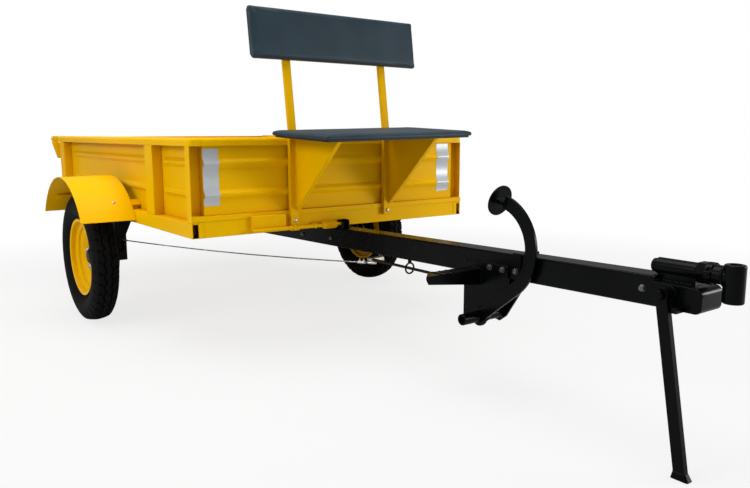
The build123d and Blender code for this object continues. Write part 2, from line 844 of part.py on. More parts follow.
catch_rear = bolt_x - 16.0
catch_front = bolt_x + 16.0
catch_width = 32.0
catch_y = -20.0
with BuildPart() as latch_catch:
    with BuildSketch(Plane.XZ.offset(-catch_y - catch_width / 2)):
        with BuildLine():
            Polyline(
                (catch_rear, drawbar_top_at(catch_rear)),
                (catch_front, drawbar_top_at(catch_front)),
                (catch_front, bolt_z + 6.0),
                (catch_front - 6.0, bolt_z + 14.0),
                (catch_rear, bolt_z + 14.0),
                close=True,
            )
        make_face()
    extrude(amount=catch_width)
    with Locations((bolt_x + 10.0, catch_y, bolt_z + 6.0)):
        Box(44.0, catch_width - 12.0, 60.0, mode=Mode.SUBTRACT)
    with BuildSketch(Plane.XZ.offset(-catch_y)):
        with Locations((bolt_x, bolt_z)):
            Circle(bolt_radius + 1.5)
    extrude(amount=30.0, mode=Mode.SUBTRACT)

# Brake cables: two straight runs a side with a gentle bend where they hang
yoke_x = bed_front + 200.0
yoke_z = drawbar_bottom_at(yoke_x) - 24.0
cable_start = Vector(lever_x + 12.0, -lever_y - 6.0, lever_high)
cable_end = Vector(yoke_x + 9.0, -14.0, yoke_z)
cable_run = cable_end - cable_start
cable_side = cable_run.cross(Vector(0, 0, 1)).normalized()
cable_plane = Plane(origin=cable_start, x_dir=cable_run, z_dir=cable_side)
cable_sag = -14.0 if cable_plane.y_dir.Z > 0 else 14.0
with BuildPart() as brake_cables:
    with BuildLine(cable_plane):
        hang = FilletPolyline(
            (0, 0), (cable_run.length * 0.48, cable_sag), (cable_run.length, 0), radius=9000.0
        )
    with BuildSketch(Plane(origin=hang @ 0, z_dir=hang % 0)):
        Circle(2.0)
    sweep()
    mirror(about=Plane.XZ)

# Yoke that joins both cables to the brake rod
rod_y = -25.0
rod_radius = 5.0
with BuildPart() as cable_yoke:
    with Locations((yoke_x + 12.0, -6.0, yoke_z)):
        Box(24.0, 64.0, 10.0)
    fillet(cable_yoke.edges().filter_by(Axis.Z), 5.0)
    add(brake_cables.part, mode=Mode.SUBTRACT)

# Ring guide welded under the drawbar
guide_x = bed_front + 430.0
guide_radius = 18.0
guide_wire = 3.0
guide_top = drawbar_bottom_at(guide_x - 6.0)
with BuildPart() as rod_guide:
    with BuildSketch(Plane.XZ.offset(-rod_y)):
        with Locations((guide_x, yoke_z + guide_radius)):
            Circle(guide_wire)
    revolve(axis=Axis((guide_x, rod_y, yoke_z), (1, 0, 0)))
    with Locations((guide_x, rod_y, (yoke_z + guide_radius + guide_top) / 2)):
        Box(8.0, 10.0, guide_top - yoke_z - guide_radius)

# Brake pedal: sickle arm on the right of the drawbar, hung on a cross tube below it
arm_near = drawbar_width / 2 + 11.0
arm_thickness = 10.0
arm_centre_x = bed_front + pedal_reach + 131.0
arm_centre = (arm_centre_x, drawbar_top_at(arm_centre_x) + 17.0)
arm_radius = 139.0
arm_width = 38.0
arm_bend = 52.0
pivot_run = 176.0
pivot_radius = 17.0
pad_angle = 74.0
pad_radius = 45.0
pad_tilt = radians(17.0)
pad_point = (
    arm_centre[0] + arm_radius * cos(radians(pad_angle)) - 18.0,
    arm_centre[1] + arm_radius * sin(radians(pad_angle)) + 2.0,
)
bend_point = (
    arm_centre[0] + arm_radius * cos(radians(arm_bend)),
    arm_centre[1] - arm_radius * sin(radians(arm_bend)),
)
rod_end = bend_point[0] - (bend_point[1] - yoke_z) * sin(radians(arm_bend)) / cos(radians(arm_bend))
rod_pin_radius = 6.0
pivot_x = bend_point[0] - pivot_run * sin(radians(arm_bend))
pivot_z = bend_point[1] - pivot_run * cos(radians(arm_bend))
with BuildPart() as pedal_arm:
    with BuildSketch(Plane.XZ.offset(arm_near)):
        with BuildLine():
            sickle = CenterArc(arm_centre, arm_radius, -arm_bend, arm_bend + pad_angle)
        trace(line_width=arm_width)
        with BuildLine():
            Line(sickle @ 0, (pivot_x, pivot_z))
        trace(line_width=arm_width)
        with Locations((pivot_x, pivot_z)):
            Circle(pivot_radius + 12.0)
            Circle(pivot_radius + fit_gap, mode=Mode.SUBTRACT)
    extrude(amount=arm_thickness)
    with BuildSketch(Plane.XZ.offset(-rod_y - rod_radius - 4.0)):
        with Locations((rod_end, yoke_z)):
            Circle(rod_pin_radius)
    extrude(amount=arm_near + rod_y + rod_radius + 4.0)
    pad_plane = Plane(
        origin=(pad_point[0], -arm_near - arm_thickness / 2, pad_point[1]),
        z_dir=(-cos(pad_tilt), 0, sin(pad_tilt)),
    )
    with BuildSketch(pad_plane):
        Circle(pad_radius)
    extrude(amount=5.0)
    with BuildSketch(pad_plane):
        Rectangle(arm_thickness, 34.0)
    extrude(amount=-22.0)

# Brake rod from the yoke to a flat eye on the pedal arm's pin
eye_half = rod_radius - 1.5
with BuildPart() as brake_rod:
    with BuildSketch(Plane.YZ.offset(yoke_x + 24.0)):
        with Locations((rod_y, yoke_z)):
            Circle(rod_radius)
    extrude(amount=rod_end - yoke_x - 24.0)
    with BuildSketch(Plane.XZ.offset(-rod_y - eye_half)):
        with Locations((rod_end, yoke_z)):
            Circle(rod_pin_radius + 7.0)
    extrude(amount=2 * eye_half)
    with BuildSketch(Plane.XZ.offset(-rod_y - 2 * rod_radius)):
        with Locations((rod_end, yoke_z)):
            Circle(rod_pin_radius + fit_gap)
    extrude(amount=4 * rod_radius, mode=Mode.SUBTRACT)

# Cross tube that the pedal arm turns on
tube_right = 125.0
tube_left = 52.0
with BuildPart() as pedal_pivot:
    with BuildSketch(Plane.XZ.offset(-tube_left)):
        with Locations((pivot_x, pivot_z)):
            Circle(pivot_radius)
            Circle(pivot_radius - 5.0, mode=Mode.SUBTRACT)
    extrude(amount=tube_right + tube_left)

# Brackets that hang the pedal tube from both faces of the drawbar
bracket_length = 178.0
bracket_rear = bed_front + pedal_reach
bracket_front = bracket_rear + bracket_length
bracket_plate = 8.0
bracket_top = drawbar_bottom_at(bracket_rear) + 40.0
with BuildPart() as pedal_brackets:
    with BuildSketch(Plane.XZ.offset(drawbar_width / 2)):
        with BuildLine():
            Polyline(
                (bracket_rear, bracket_top),
                (bracket_front, bracket_top),
                (bracket_front, bracket_top - 60.0),
                (pivot_x + 26.0, pivot_z - 8.0),
                (pivot_x, pivot_z - 28.0),
                (bracket_rear, pivot_z - 14.0),
                close=True,
            )
        make_face()
        with Locations((pivot_x, pivot_z)):
            Circle(pivot_radius + fit_gap, mode=Mode.SUBTRACT)
    extrude(amount=bracket_plate)
    mirror(about=Plane.XZ)

# Foot rests: tapering channel arms out from the brackets, their ends cut at 45 degrees
rest_inset = 26.0
rest_width = 48.0
rest_rear = bracket_rear + rest_inset
rest_front = rest_rear + rest_width
rest_top = drawbar_bottom_at(rest_front) + 20.0
rest_root = drawbar_width / 2 + bracket_plate
rest_wall = 4.0
rest_tip_height = 24.0
rest_root_height = 50.0
rest_chamfer = 11.0
with BuildPart() as foot_rests:
    with BuildSketch(Plane.YZ.offset(rest_rear)):
        with BuildLine():
            Polyline(
                (-rest_root, rest_top),
                (-foot_rest_span, rest_top),
                (-foot_rest_span, rest_top - rest_wall),
                (-foot_rest_span + rest_chamfer, rest_top - rest_tip_height),
                (-rest_root, rest_top - rest_root_height),
                close=True,
            )
        make_face()
    extrude(amount=rest_front - rest_rear)
    with BuildSketch(Plane.YZ.offset(rest_rear + rest_wall)):
        with BuildLine():
            Polyline(
                (-rest_root, rest_top - rest_wall),
                (-foot_rest_span - rest_wall, rest_top - rest_wall),
                (-foot_rest_span - rest_wall, rest_top - rest_root_height),
                (-rest_root, rest_top - rest_root_height - 10.0),
                close=True,
            )
        make_face()
    extrude(amount=rest_width - 2 * rest_wall, mode=Mode.SUBTRACT)
    with BuildSketch(Plane.XY.offset(rest_top)):
        with BuildLine():
            Polyline(
                (rest_front, -foot_rest_span),
                (rest_rear, -foot_rest_span + rest_width),
                (rest_rear, -foot_rest_span),
                close=True,
            )
        make_face()
    extrude(amount=-rest_root_height, mode=Mode.SUBTRACT)
    mirror(about=Plane.XZ)

# Strap over the drawbar in front of the brackets
strap_x = bracket_front + 30.0
strap_width = 30.0
strap_thickness = 5.0
strap_rear = strap_x - strap_width / 2
strap_front = strap_x + strap_width / 2
with BuildPart() as drawbar_strap:
    with BuildSketch(Plane.XZ.offset(-drawbar_width / 2 - strap_thickness)):
        with BuildLine():
            Polyline(
                (strap_rear, drawbar_bottom_at(strap_x) + 8.0),
                (strap_front, drawbar_bottom_at(strap_x) + 8.0),
                (strap_front, drawbar_top_at(strap_front) + strap_thickness),
                (strap_rear, drawbar_top_at(strap_rear) + strap_thickness),
                close=True,
            )
        make_face()
    extrude(amount=drawbar_width + 2 * strap_thickness)
    with BuildSketch(Plane.XZ.offset(-drawbar_width / 2)):
        with BuildLine():
            Polyline(
                (strap_rear, drawbar_bottom_at(strap_rear) - 5.0),
                (strap_front, drawbar_bottom_at(strap_front) - 5.0),
                (strap_front, drawbar_top_at(strap_front)),
                (strap_rear, drawbar_top_at(strap_rear)),
                close=True,
            )
        make_face()
    extrude(amount=drawbar_width, mode=Mode.SUBTRACT)

# Hitch head: folded box on the end of the drawbar, open below
head_front = bed_front + hitch_reach - hitch_tube_radius - moving_gap - 17.0
head_half = drawbar_width / 2 + 10.0
head_low = drawbar_bottom_at(head_rear) + 4.0
head_high = drawbar_top_at(head_rear) - 12.0
head_wall = 8.0
head_length = head_front - head_rear
shaft_z = head_high + 32.0
with BuildPart() as hitch_head:
    with Locations((head_rear + head_length / 2, 0, (head_low + head_high) / 2)):
        Box(head_length, 2 * head_half, head_high - head_low)
    fillet(hitch_head.edges().filter_by(Axis.Y).sort_by(Axis.X)[-2:], 16.0)
    with Locations((head_rear + head_length / 2, 0, (head_low + head_high) / 2 - head_wall)):
        Box(
            head_length - 2 * head_wall,
            2 * (head_half - head_wall),
            head_high - head_low,
            mode=Mode.SUBTRACT,
        )

# Swivel tube on the head, for the hitch shaft
swivel_rear = head_rear - 12.0
swivel_front = head_rear + 89.0
swivel_radius = 20.0
with BuildPart() as swivel_tube:
    with Locations(((head_rear + swivel_front) / 2, 0, (head_high + shaft_z) / 2)):
        Box(swivel_front - head_rear, 28.0, shaft_z - head_high)
    with BuildSketch(Plane.YZ.offset(swivel_rear)):
        with Locations((0, shaft_z)):
            Circle(swivel_radius)
    extrude(amount=swivel_front - swivel_rear)
    with BuildSketch(Plane.YZ.offset(swivel_rear)):
        with Locations((0, shaft_z)):
            Circle(shaft_radius + pin_gap)
    extrude(amount=swivel_front - swivel_rear, mode=Mode.SUBTRACT)

# Hitch: swivelling shaft with a cap and a nut, and the upright tube for the tractor's pin
hitch_x = bed_front + hitch_reach
hitch_low = shaft_z - 60.0
cap_radius = shaft_radius + 1.5
cap_length = 10.0
cap_rear = swivel_rear - 3.0 - cap_length
nut_radius = 27.0
nut_length = 20.0
neck_radius = 22.0
with BuildPart() as hitch_shaft:
    with BuildSketch(Plane.YZ.offset(cap_rear)):
        with Locations((0, shaft_z)):
            Circle(cap_radius)
    extrude(amount=cap_length)
    fillet(hitch_shaft.edges().group_by(Axis.X)[0], 4.0)
    with BuildSketch(Plane.YZ.offset(cap_rear + cap_length)):
        with Locations((0, shaft_z)):
            Circle(shaft_radius)
    extrude(amount=hitch_x - cap_rear - cap_length)
    with BuildSketch(Plane.YZ.offset(swivel_front + 3.0)):
        with Locations((0, shaft_z)):
            RegularPolygon(nut_radius, 6)
    extrude(amount=nut_length)
    with BuildSketch(Plane.YZ.offset(swivel_front + 3.0 + nut_length)):
        with Locations((0, shaft_z)):
            Circle(neck_radius)
    extrude(amount=hitch_x - swivel_front - 3.0 - nut_length)
    with BuildSketch(Plane.XY.offset(hitch_low)):
        with Locations((hitch_x, 0)):
            Circle(hitch_tube_radius)
    extrude(amount=hitch_tube_height, mode=Mode.SUBTRACT)

with BuildPart() as hitch_tube:
    with BuildSketch(Plane.XY.offset(hitch_low)):
        with Locations((hitch_x, 0)):
            Circle(hitch_tube_radius)
            Circle(hitch_bore_radius, mode=Mode.SUBTRACT)
    extrude(amount=hitch_tube_height)
    chamfer(hitch_tube.edges().filter_by(GeomType.CIRCLE).group_by(SortBy.RADIUS)[-1], 2.5)

# Stand: bolt and stop on the head, bar leg with a flared foot
stand_pin_x = head_rear + 45.0
stand_pin_z = head_low + 40.0
stand_pin_radius = 8.0
leg_width = 28.0
leg_thickness = 16.0
boss_end = head_half + 16.0
leg_near = boss_end + moving_gap
tilt = radians(stand_lean)
leg_length = stand_pin_z / cos(tilt)
with BuildPart() as stand_mount:
    with BuildSketch(Plane.XZ.offset(head_half)):
        with Locations((stand_pin_x, stand_pin_z)):
            Circle(14.0)
    extrude(amount=boss_end - head_half)
    with BuildSketch(Plane.XZ.offset(boss_end)):
        with Locations((stand_pin_x, stand_pin_z)):
            Circle(stand_pin_radius)
    extrude(amount=leg_thickness + 2 * moving_gap)
    with BuildSketch(Plane.XZ.offset(leg_near + leg_thickness + moving_gap)):
        with Locations((stand_pin_x, stand_pin_z)):
            RegularPolygon(13.0, 6)
    extrude(amount=7.0)
    stop_x = stand_pin_x + (stand_pin_z - head_low - 6.0) * sin(tilt) / cos(tilt) + leg_width / 2 + 10.0
    with Locations((stop_x, -(head_half + leg_near + 8.0) / 2, head_low + 6.0)):
        Box(14.0, leg_near + 8.0 - head_half, 12.0)

with BuildPart() as stand_leg:
    leg_plane = Plane(
        origin=(stand_pin_x, -leg_near, stand_pin_z),
        x_dir=(cos(tilt), 0, sin(tilt)),
        z_dir=(0, -1, 0),
    )
    with BuildSketch(leg_plane):
        with Locations((0, -leg_length / 2)):
            Rectangle(leg_width, leg_length + 2 * leg_width)
        Circle(leg_width / 2 + 4.0)
        with Locations((0, 40.0)):
            Rectangle(80.0, 80.0, mode=Mode.SUBTRACT)
        Circle(leg_width / 2 + 4.0)
        Circle(stand_pin_radius + pin_gap, mode=Mode.SUBTRACT)
    extrude(amount=leg_thickness)
    foot_x = stand_pin_x + stand_pin_z * sin(tilt) / cos(tilt)
    foot_y = -leg_near - leg_thickness / 2
    with BuildSketch(Plane.XY):
        with Locations((foot_x, foot_y)):
            RectangleRounded(44.0, 24.0, 5.0)
    with BuildSketch(Plane.XY.offset(16.0)):
        with Locations((foot_x - 16.0 * sin(tilt), foot_y)):
            RectangleRounded(32.0, 18.0, 4.0)
    loft()
    with Locations((foot_x, foot_y, -50.0)):
        Box(200.0, 200.0, 100.0, mode=Mode.SUBTRACT)

pieces = {
    "side_rails": side_rails,
    "end_rails": end_rails,
    "bearers": bearers,
    "cross_members": cross_members,
    "hinge_lugs": hinge_lugs,
    "bed_floor": bed_floor,
    "side_wall_right": side_wall_right,
    "side_wall_left": side_wall_left,
    "front_wall": front_wall,
    "wall_posts": wall_posts,
    "fenders": fenders,
    "fender_bars": fender_bars,
    "seat_posts": seat_posts,
    "seat_gussets": seat_gussets,
    "seat_board": seat_board,
    "seat_pad": seat_pad,
    "back_board": back_board,
    "back_pad": back_pad,
    "latch_plate": latch_plate,
    "latch_bolt": latch_bolt,
    "gate_lugs": gate_lugs,
    "tailgate": tailgate,
    "gate_ears": gate_ears,
    "tyre_right": tyre_right,
    "tyre_left": tyre_left,
    "rim_right": rim_right,
    "rim_left": rim_left,
    "hub_right": hub_right,
    "hub_left": hub_left,
    "axle": axle,
    "brake_plates": brake_plates,
    "drawbar": drawbar,
    "axle_gussets": axle_gussets,
    "hinge_cheeks": hinge_cheeks,
    "bed_rest": bed_rest,
    "latch_catch": latch_catch,
    "brake_cables": brake_cables,
    "cable_yoke": cable_yoke,
    "brake_rod": brake_rod,
    "rod_guide": rod_guide,
    "pedal_arm": pedal_arm,
    "pedal_pivot": pedal_pivot,
    "pedal_brackets": pedal_brackets,
    "foot_rests": foot_rests,
    "drawbar_strap": drawbar_strap,
    "hitch_head": hitch_head,
    "swivel_tube": swivel_tube,
    "hitch_shaft": hitch_shaft,
    "hitch_tube": hitch_tube,
    "stand_mount": stand_mount,
    "stand_leg": stand_leg,
}
for label, piece in pieces.items():
    piece.part.label = label
    export_step(piece.part, f"parts/{label}.step")
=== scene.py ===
import bpy
import bmesh
import json
import math
import random
from mathutils import Matrix, Vector


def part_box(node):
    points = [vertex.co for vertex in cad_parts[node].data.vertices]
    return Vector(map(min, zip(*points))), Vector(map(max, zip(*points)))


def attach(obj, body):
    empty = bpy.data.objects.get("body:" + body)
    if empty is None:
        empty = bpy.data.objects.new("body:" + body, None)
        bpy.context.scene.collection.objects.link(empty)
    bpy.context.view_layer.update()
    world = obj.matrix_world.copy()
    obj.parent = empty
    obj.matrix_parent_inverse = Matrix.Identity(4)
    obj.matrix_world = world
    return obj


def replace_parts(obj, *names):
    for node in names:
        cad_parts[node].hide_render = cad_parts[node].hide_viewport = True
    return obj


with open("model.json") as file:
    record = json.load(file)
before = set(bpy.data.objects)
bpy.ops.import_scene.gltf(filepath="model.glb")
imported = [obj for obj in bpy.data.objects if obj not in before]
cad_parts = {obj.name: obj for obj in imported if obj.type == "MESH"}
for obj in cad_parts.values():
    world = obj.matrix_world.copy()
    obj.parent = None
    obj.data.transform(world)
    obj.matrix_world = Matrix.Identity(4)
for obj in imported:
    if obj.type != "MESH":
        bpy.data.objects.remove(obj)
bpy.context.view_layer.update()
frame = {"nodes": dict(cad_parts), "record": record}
scene = bpy.context.scene
nodes = frame["nodes"]
print("frame loaded,", len(nodes), "nodes")


def middleOf(node):
    low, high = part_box(node)
    return (low + high) / 2


# one socket of a material, so that sums on it read as plain arithmetic
class Wire:
    def __init__(self, finish, socket):
        self.finish = finish
        self.socket = socket

    def maths(self, operation, first, second):
        return self.finish.node("ShaderNodeMath", {"operation": operation}, {0: first, 1: second})

    def __add__(self, other):
        return self.maths("ADD", self, other)

    def __radd__(self, other):
        return self.maths("ADD", other, self)

    def __rsub__(self, other):
        return self.maths("SUBTRACT", other, self)

    def __mul__(self, other):
        return self.maths("MULTIPLY", self, other)

    def __rmul__(self, other):
        return self.maths("MULTIPLY", other, self)


class Finish:
    def __init__(self, name):
        self.material = bpy.data.materials.new(name)
        self.material.use_nodes = True
        self.tree = self.material.node_tree
        self.tree.nodes.clear()
        self.place = self.node("ShaderNodeTexCoord", pick="Object")  # metres in the trailer's frame

    def node(self, kind, settings={}, sockets={}, pick=0):
        made = self.tree.nodes.new(kind)
        for key, value in settings.items():
            setattr(made, key, value)
        for key, value in sockets.items():
            if isinstance(value, Wire):
                self.tree.links.new(value.socket, made.inputs[key])
            else:
                made.inputs[key].default_value = value
        return Wire(self, made.outputs[pick])

    def cloud(self, size, detail=3, stretch=None):  # soft patches about size metres across
        spot = self.place
        if stretch:
            spot = self.node("ShaderNodeVectorMath", {"operation": "MULTIPLY"}, {0: spot, 1: stretch})
        return self.node("ShaderNodeTexNoise", {}, {"Vector": spot, "Scale": 1 / size, "Detail": detail})

    def cells(self, size, feature="F1"):
        sockets = {"Vector": self.place, "Scale": 1 / size}
        return self.node("ShaderNodeTexVoronoi", {"feature": feature}, sockets)

    def step(self, value, low, high):
        return self.node(
            "ShaderNodeMapRange", {"interpolation_type": "SMOOTHSTEP"},
            {"Value": value, "From Min": low, "From Max": high, "To Min": 0.0, "To Max": 1.0},
        )

    def mix(self, share, first, second):
        shades = [v if isinstance(v, Wire) else (*v, 1.0) for v in (first, second)]
        return self.node("ShaderNodeMix", {"data_type": "RGBA"}, {0: share, 6: shades[0], 7: shades[1]}, 2)

    def axis(self, vector, letter):
        return self.node("ShaderNodeSeparateXYZ", {}, {0: vector}, letter)

    def upward(self):  # 1 on faces that look up, where dust settles
        return self.step(self.axis(self.node("ShaderNodeNewGeometry", pick="Normal"), "Z"), 0.55, 0.98)

    def edges(self, radius):  # about 0.3 along a square corner, 0 on flat faces
        soft = self.node("ShaderNodeBevel", {"samples": 4}, {"Radius": radius})
        flat = self.node("ShaderNodeNewGeometry", pick="Normal")
        match = self.node("ShaderNodeVectorMath", {"operation": "DOT_PRODUCT"}, {0: soft, 1: flat}, "Value")
        return 1 - match

    def corners(self, reach):  # 1 deep in an inside corner, 0 in the open
        return 1 - self.node("ShaderNodeAmbientOcclusion", {"samples": 6}, {"Distance": reach}, "AO")

    def rounded(self, radius):  # normal that rolls over the edges, as pressed sheet does
        return self.node("ShaderNodeBevel", {"samples": 4}, {"Radius": radius})

    def bump(self, height, depth, under=None):
        sockets = {"Height": height, "Distance": depth, "Strength": 1.0}
        if under:
            sockets["Normal"] = under
        return self.node("ShaderNodeBump", {}, sockets)

    def done(self, **sockets):
        values = {}
        for key, value in sockets.items():  # specularIorLevel is the socket Specular IOR Level
            words = key[0].upper() + "".join(" " + c if c.isupper() else c for c in key[1:])
            values[words.replace("Ior", "IOR")] = value
        shader = self.node("ShaderNodeBsdfPrincipled", {}, values)
        output = self.tree.nodes.new("ShaderNodeOutputMaterial")
        self.tree.links.new(shader.socket, output.inputs["Surface"])
        return self.material


# the deep-orange third colour is painted shade for corners and recesses, not a paint of its own
yellowPaint = {
    "fresh": (0.88, 0.495, 0.0), "faded": (0.82, 0.45, 0.0), "pooled": (0.55, 0.21, 0.0),
    "chip": (0.11, 0.10, 0.09), "dust": (0.50, 0.38, 0.18), "peel": 0.00003, "wave": 0.0005, "roll": 0.0035,
}


def yellowEnamel(name, chips=0.70, dust=0.08, scuffs=0.0):
    f = Finish(name)
    broad = f.cloud(0.42, 3)
    fine = f.cloud(0.012, 4)
    colour = f.mix(f.step(broad, 0.3, 0.75), yellowPaint["faded"], yellowPaint["fresh"])
    # painted shade: occlusion darkens the yellow toward deep orange in corners and recesses
    colour = f.mix(f.step(f.corners(0.11), 0.15, 0.95) * 0.6, colour, yellowPaint["pooled"])
    colour = f.mix(f.upward() * f.step(f.cloud(0.09, 5), 0.42, 0.75) * dust, colour, yellowPaint["dust"])
    bare = f.step(f.edges(0.0022) * 3.3 * fine, chips - 0.06, chips)
    if scuffs:
        drag = f.cloud(0.02, 4, (0.05, 1.0, 1.0))
        bare = bare + f.step(drag * f.step(f.cloud(0.3, 2), 0.25, 0.7), 0.42, 0.52) * scuffs
    colour = f.mix(bare, colour, yellowPaint["chip"])
    rough = 0.28 + 0.14 * f.cloud(0.05, 4) + 0.25 * bare
    peel = f.bump(f.cloud(0.0016, 2), yellowPaint["peel"], f.rounded(yellowPaint["roll"]))
    wave = f.bump(f.cloud(0.11, 1), yellowPaint["wave"], peel)
    return f.done(baseColor=colour, roughness=rough, normal=wave, specularIorLevel=0.04)


blackPaint = {
    "fresh": (0.0010, 0.0013, 0.0016), "faded": (0.0020, 0.0024, 0.0028), "chip": (0.03, 0.028, 0.025),
    "dust": (0.02, 0.019, 0.018), "peel": 0.00004, "roll": 0.002,
}


def blackEnamel(name, chips=0.68, dust=0.12):
    f = Finish(name)
    fine = f.cloud(0.014, 4)
    colour = f.mix(f.step(f.cloud(0.2, 3), 0.3, 0.75), blackPaint["fresh"], blackPaint["faded"])
    colour = f.mix(f.upward() * f.step(f.cloud(0.06, 5), 0.4, 0.8) * dust, colour, blackPaint["dust"])
    bare = f.step(f.edges(0.0024) * 3.3 * fine, chips - 0.07, chips)
    colour = f.mix(bare, colour, blackPaint["chip"])
    rough = 0.20 + 0.14 * f.cloud(0.04, 4) + 0.2 * bare
    peel = f.bump(f.cloud(0.0022, 2), blackPaint["peel"], f.rounded(blackPaint["roll"]))
    return f.done(baseColor=colour, roughness=rough, normal=peel, specularIorLevel=0.08)


def zincPlate(name, tint=(0.66, 0.65, 0.61)):
    f = Finish(name)
    spangle = f.cells(0.006)
    dull = tuple(0.72 * c for c in tint)
    colour = f.mix(f.step(f.cloud(0.01, 4), 0.35, 0.7), tint, dull)
    rough = 0.26 + 0.22 * f.cloud(0.006, 4)
    return f.done(baseColor=colour, roughness=rough, metallic=1.0, normal=f.bump(spangle, 0.00005))


vinylCover = {"dark": (0.016, 0.030, 0.041), "light": (0.028, 0.050, 0.067), "grain": 0.0011}


def grainedVinyl(name):
    f = Finish(name)
    pebble = f.cells(vinylCover["grain"], "SMOOTH_F1")
    crease = f.cells(0.0034, "DISTANCE_TO_EDGE")
    colour = f.mix(f.step(f.cloud(0.3, 2), 0.25, 0.75), vinylCover["dark"], vinylCover["light"])
    colour = f.mix(f.upward() * f.step(f.cloud(0.05, 5), 0.45, 0.8) * 0.12, colour, (0.11, 0.105, 0.1))
    rough = 0.36 + 0.16 * f.cloud(0.03, 3)
    grain = f.bump(f.step(crease, 0.0, 0.25) + 0.5 * pebble, 0.00009)
    folds = f.bump(f.cloud(0.09, 1), 0.0009, grain)
    return f.done(baseColor=colour, roughness=rough, normal=folds, specularIorLevel=0.2)


def stainedBoard(name):
    f = Finish(name)
    grain = f.cloud(0.02, 6, (1.0, 0.08, 1.0))
    colour = f.mix(f.step(grain, 0.35, 0.7), (0.012, 0.011, 0.010), (0.035, 0.028, 0.021))
    return f.done(baseColor=colour, roughness=0.55 + 0.2 * grain, normal=f.bump(grain, 0.0004))


def tyreRubber(name, axleSpot):
    f = Finish(name)
    spot = f.node("ShaderNodeVectorMath", {"operation": "SUBTRACT"}, {0: f.place, 1: axleSpot})
    flat = f.node("ShaderNodeVectorMath", {"operation": "MULTIPLY"}, {0: spot, 1: (1.0, 0.0, 1.0)})
    reach = f.node("ShaderNodeVectorMath", {"operation": "LENGTH"}, {0: flat}, "Value")
    blotch = f.cloud(0.05, 5)
    colour = f.mix(f.step(blotch, 0.3, 0.75), (0.0012, 0.0012, 0.0012), (0.0026, 0.0025, 0.0024))
    wall = f.step(0.262 - reach, 0.0, 0.02) * f.step(f.cloud(0.035, 5), 0.4, 0.8)
    colour = f.mix(wall * 0.3, colour, (0.008, 0.0073, 0.0062))
    colour = f.mix(f.step(f.corners(0.012), 0.35, 0.95) * 0.3, colour, (0.007, 0.006, 0.005))
    skinBump = f.bump(f.cloud(0.0022, 3), 0.00012)
    return f.done(baseColor=colour, roughness=0.6 + 0.2 * blotch, normal=skinBump, specularIorLevel=0.10)


def reflectiveTape(name):
    f = Finish(name)
    comb = f.step(f.cells(0.0042, "DISTANCE_TO_EDGE"), 0.02, 0.09)
    colour = f.mix(comb, (0.43, 0.46, 0.48), (0.53, 0.57, 0.60))
    colour = f.mix(f.step(f.cloud(0.04, 4), 0.45, 0.8) * 0.25, colour, (0.45, 0.43, 0.38))
    return f.done(baseColor=colour, roughness=0.30 + 0.15 * comb, metallic=0.25, normal=f.bump(comb, 0.00004))


def restBuffer(name):
    f = Finish(name)
    colour = f.mix(f.cloud(0.02, 4), (0.014, 0.014, 0.014), (0.03, 0.028, 0.026))
    return f.done(baseColor=colour, roughness=0.8, normal=f.bump(f.cloud(0.002, 3), 0.0002))


axleSpot = middleOf("rim_right")
yellow = yellowEnamel("yellow_enamel")
yellowFloor = yellowEnamel("yellow_floor_enamel", dust=0.30, scuffs=0.22)
yellowWheel = yellowEnamel("yellow_wheel_enamel", dust=0.25)
black = blackEnamel("black_enamel")
blackHub = blackEnamel("black_hub_enamel", chips=0.5, dust=0.3)
zinc = zincPlate("zinc_plate")
steelRope = zincPlate("galvanised_rope", (0.34, 0.33, 0.31))
rodSteel = zincPlate("dark_rod_steel", (0.035, 0.035, 0.036))
blackZinc = zincPlate("dull_bolt_steel", (0.15, 0.15, 0.147))
vinyl = grainedVinyl("grained_vinyl")
board = stainedBoard("stained_board")
rubber = tyreRubber("tyre_rubber", axleSpot)
tape = reflectiveTape("reflective_tape")
restRubber = restBuffer("rest_rubber")
print("finishes mixed")

# which finish each frame node wears
finishOf = {
    "yellow_paint": yellow, "black_paint": black, "zinc": zinc, "seat_vinyl": vinyl, "seat_wood": board,
    "tyre_rubber": rubber, "pad_rubber": restRubber,
}
special = {
    "bed_floor": yellowFloor, "rim_right": yellowWheel, "rim_left": yellowWheel, "hub_right": blackHub,
    "hub_left": blackHub, "brake_cables": steelRope, "brake_rod": rodSteel,
}
for row in frame["record"]["subparts"]:
    piece = nodes[row["node"]]
    piece.data.materials.clear()
    piece.data.materials.append(special.get(row["node"], finishOf[row["material_slot"]]))

# rolled and sheared edges catch light, so every rigid node gets a small round
softEdge = {
    "width": 0.0011, "turn": 32, "join": 0.00003, "flat": 0.5,
    "wide": {"drawbar": 0.003, "hitch_head": 0.004, "hitch_tube": 0.002, "seat_posts": 0.0025,
             "side_rails": 0.0022, "end_rails": 0.0022, "foot_rests": 0.0014, "pedal_arm": 0.0022,
             "stand_leg": 0.0025},
    "plain": ["brake_cables", "tyre_right", "tyre_left", "seat_pad", "back_pad"],
}


def soften(name):
    piece = nodes[name]
    join = piece.modifiers.new("join", "WELD")
    join.merge_threshold = softEdge["join"]
    flatten = piece.modifiers.new("flatten", "DECIMATE")
    flatten.decimate_type = "DISSOLVE"
    flatten.angle_limit = math.radians(softEdge["flat"])
    turned = piece.modifiers.new("turned", "BEVEL")
    turned.width = softEdge["wide"].get(name, softEdge["width"])
    turned.segments = 2
    turned.limit_method = "ANGLE"
    turned.angle_limit = math.radians(softEdge["turn"])
    even = piece.modifiers.new("even", "WEIGHTED_NORMAL")
    even.keep_sharp = False


for name in nodes:
    if name not in softEdge["plain"]:
        soften(name)
print("edges turned")


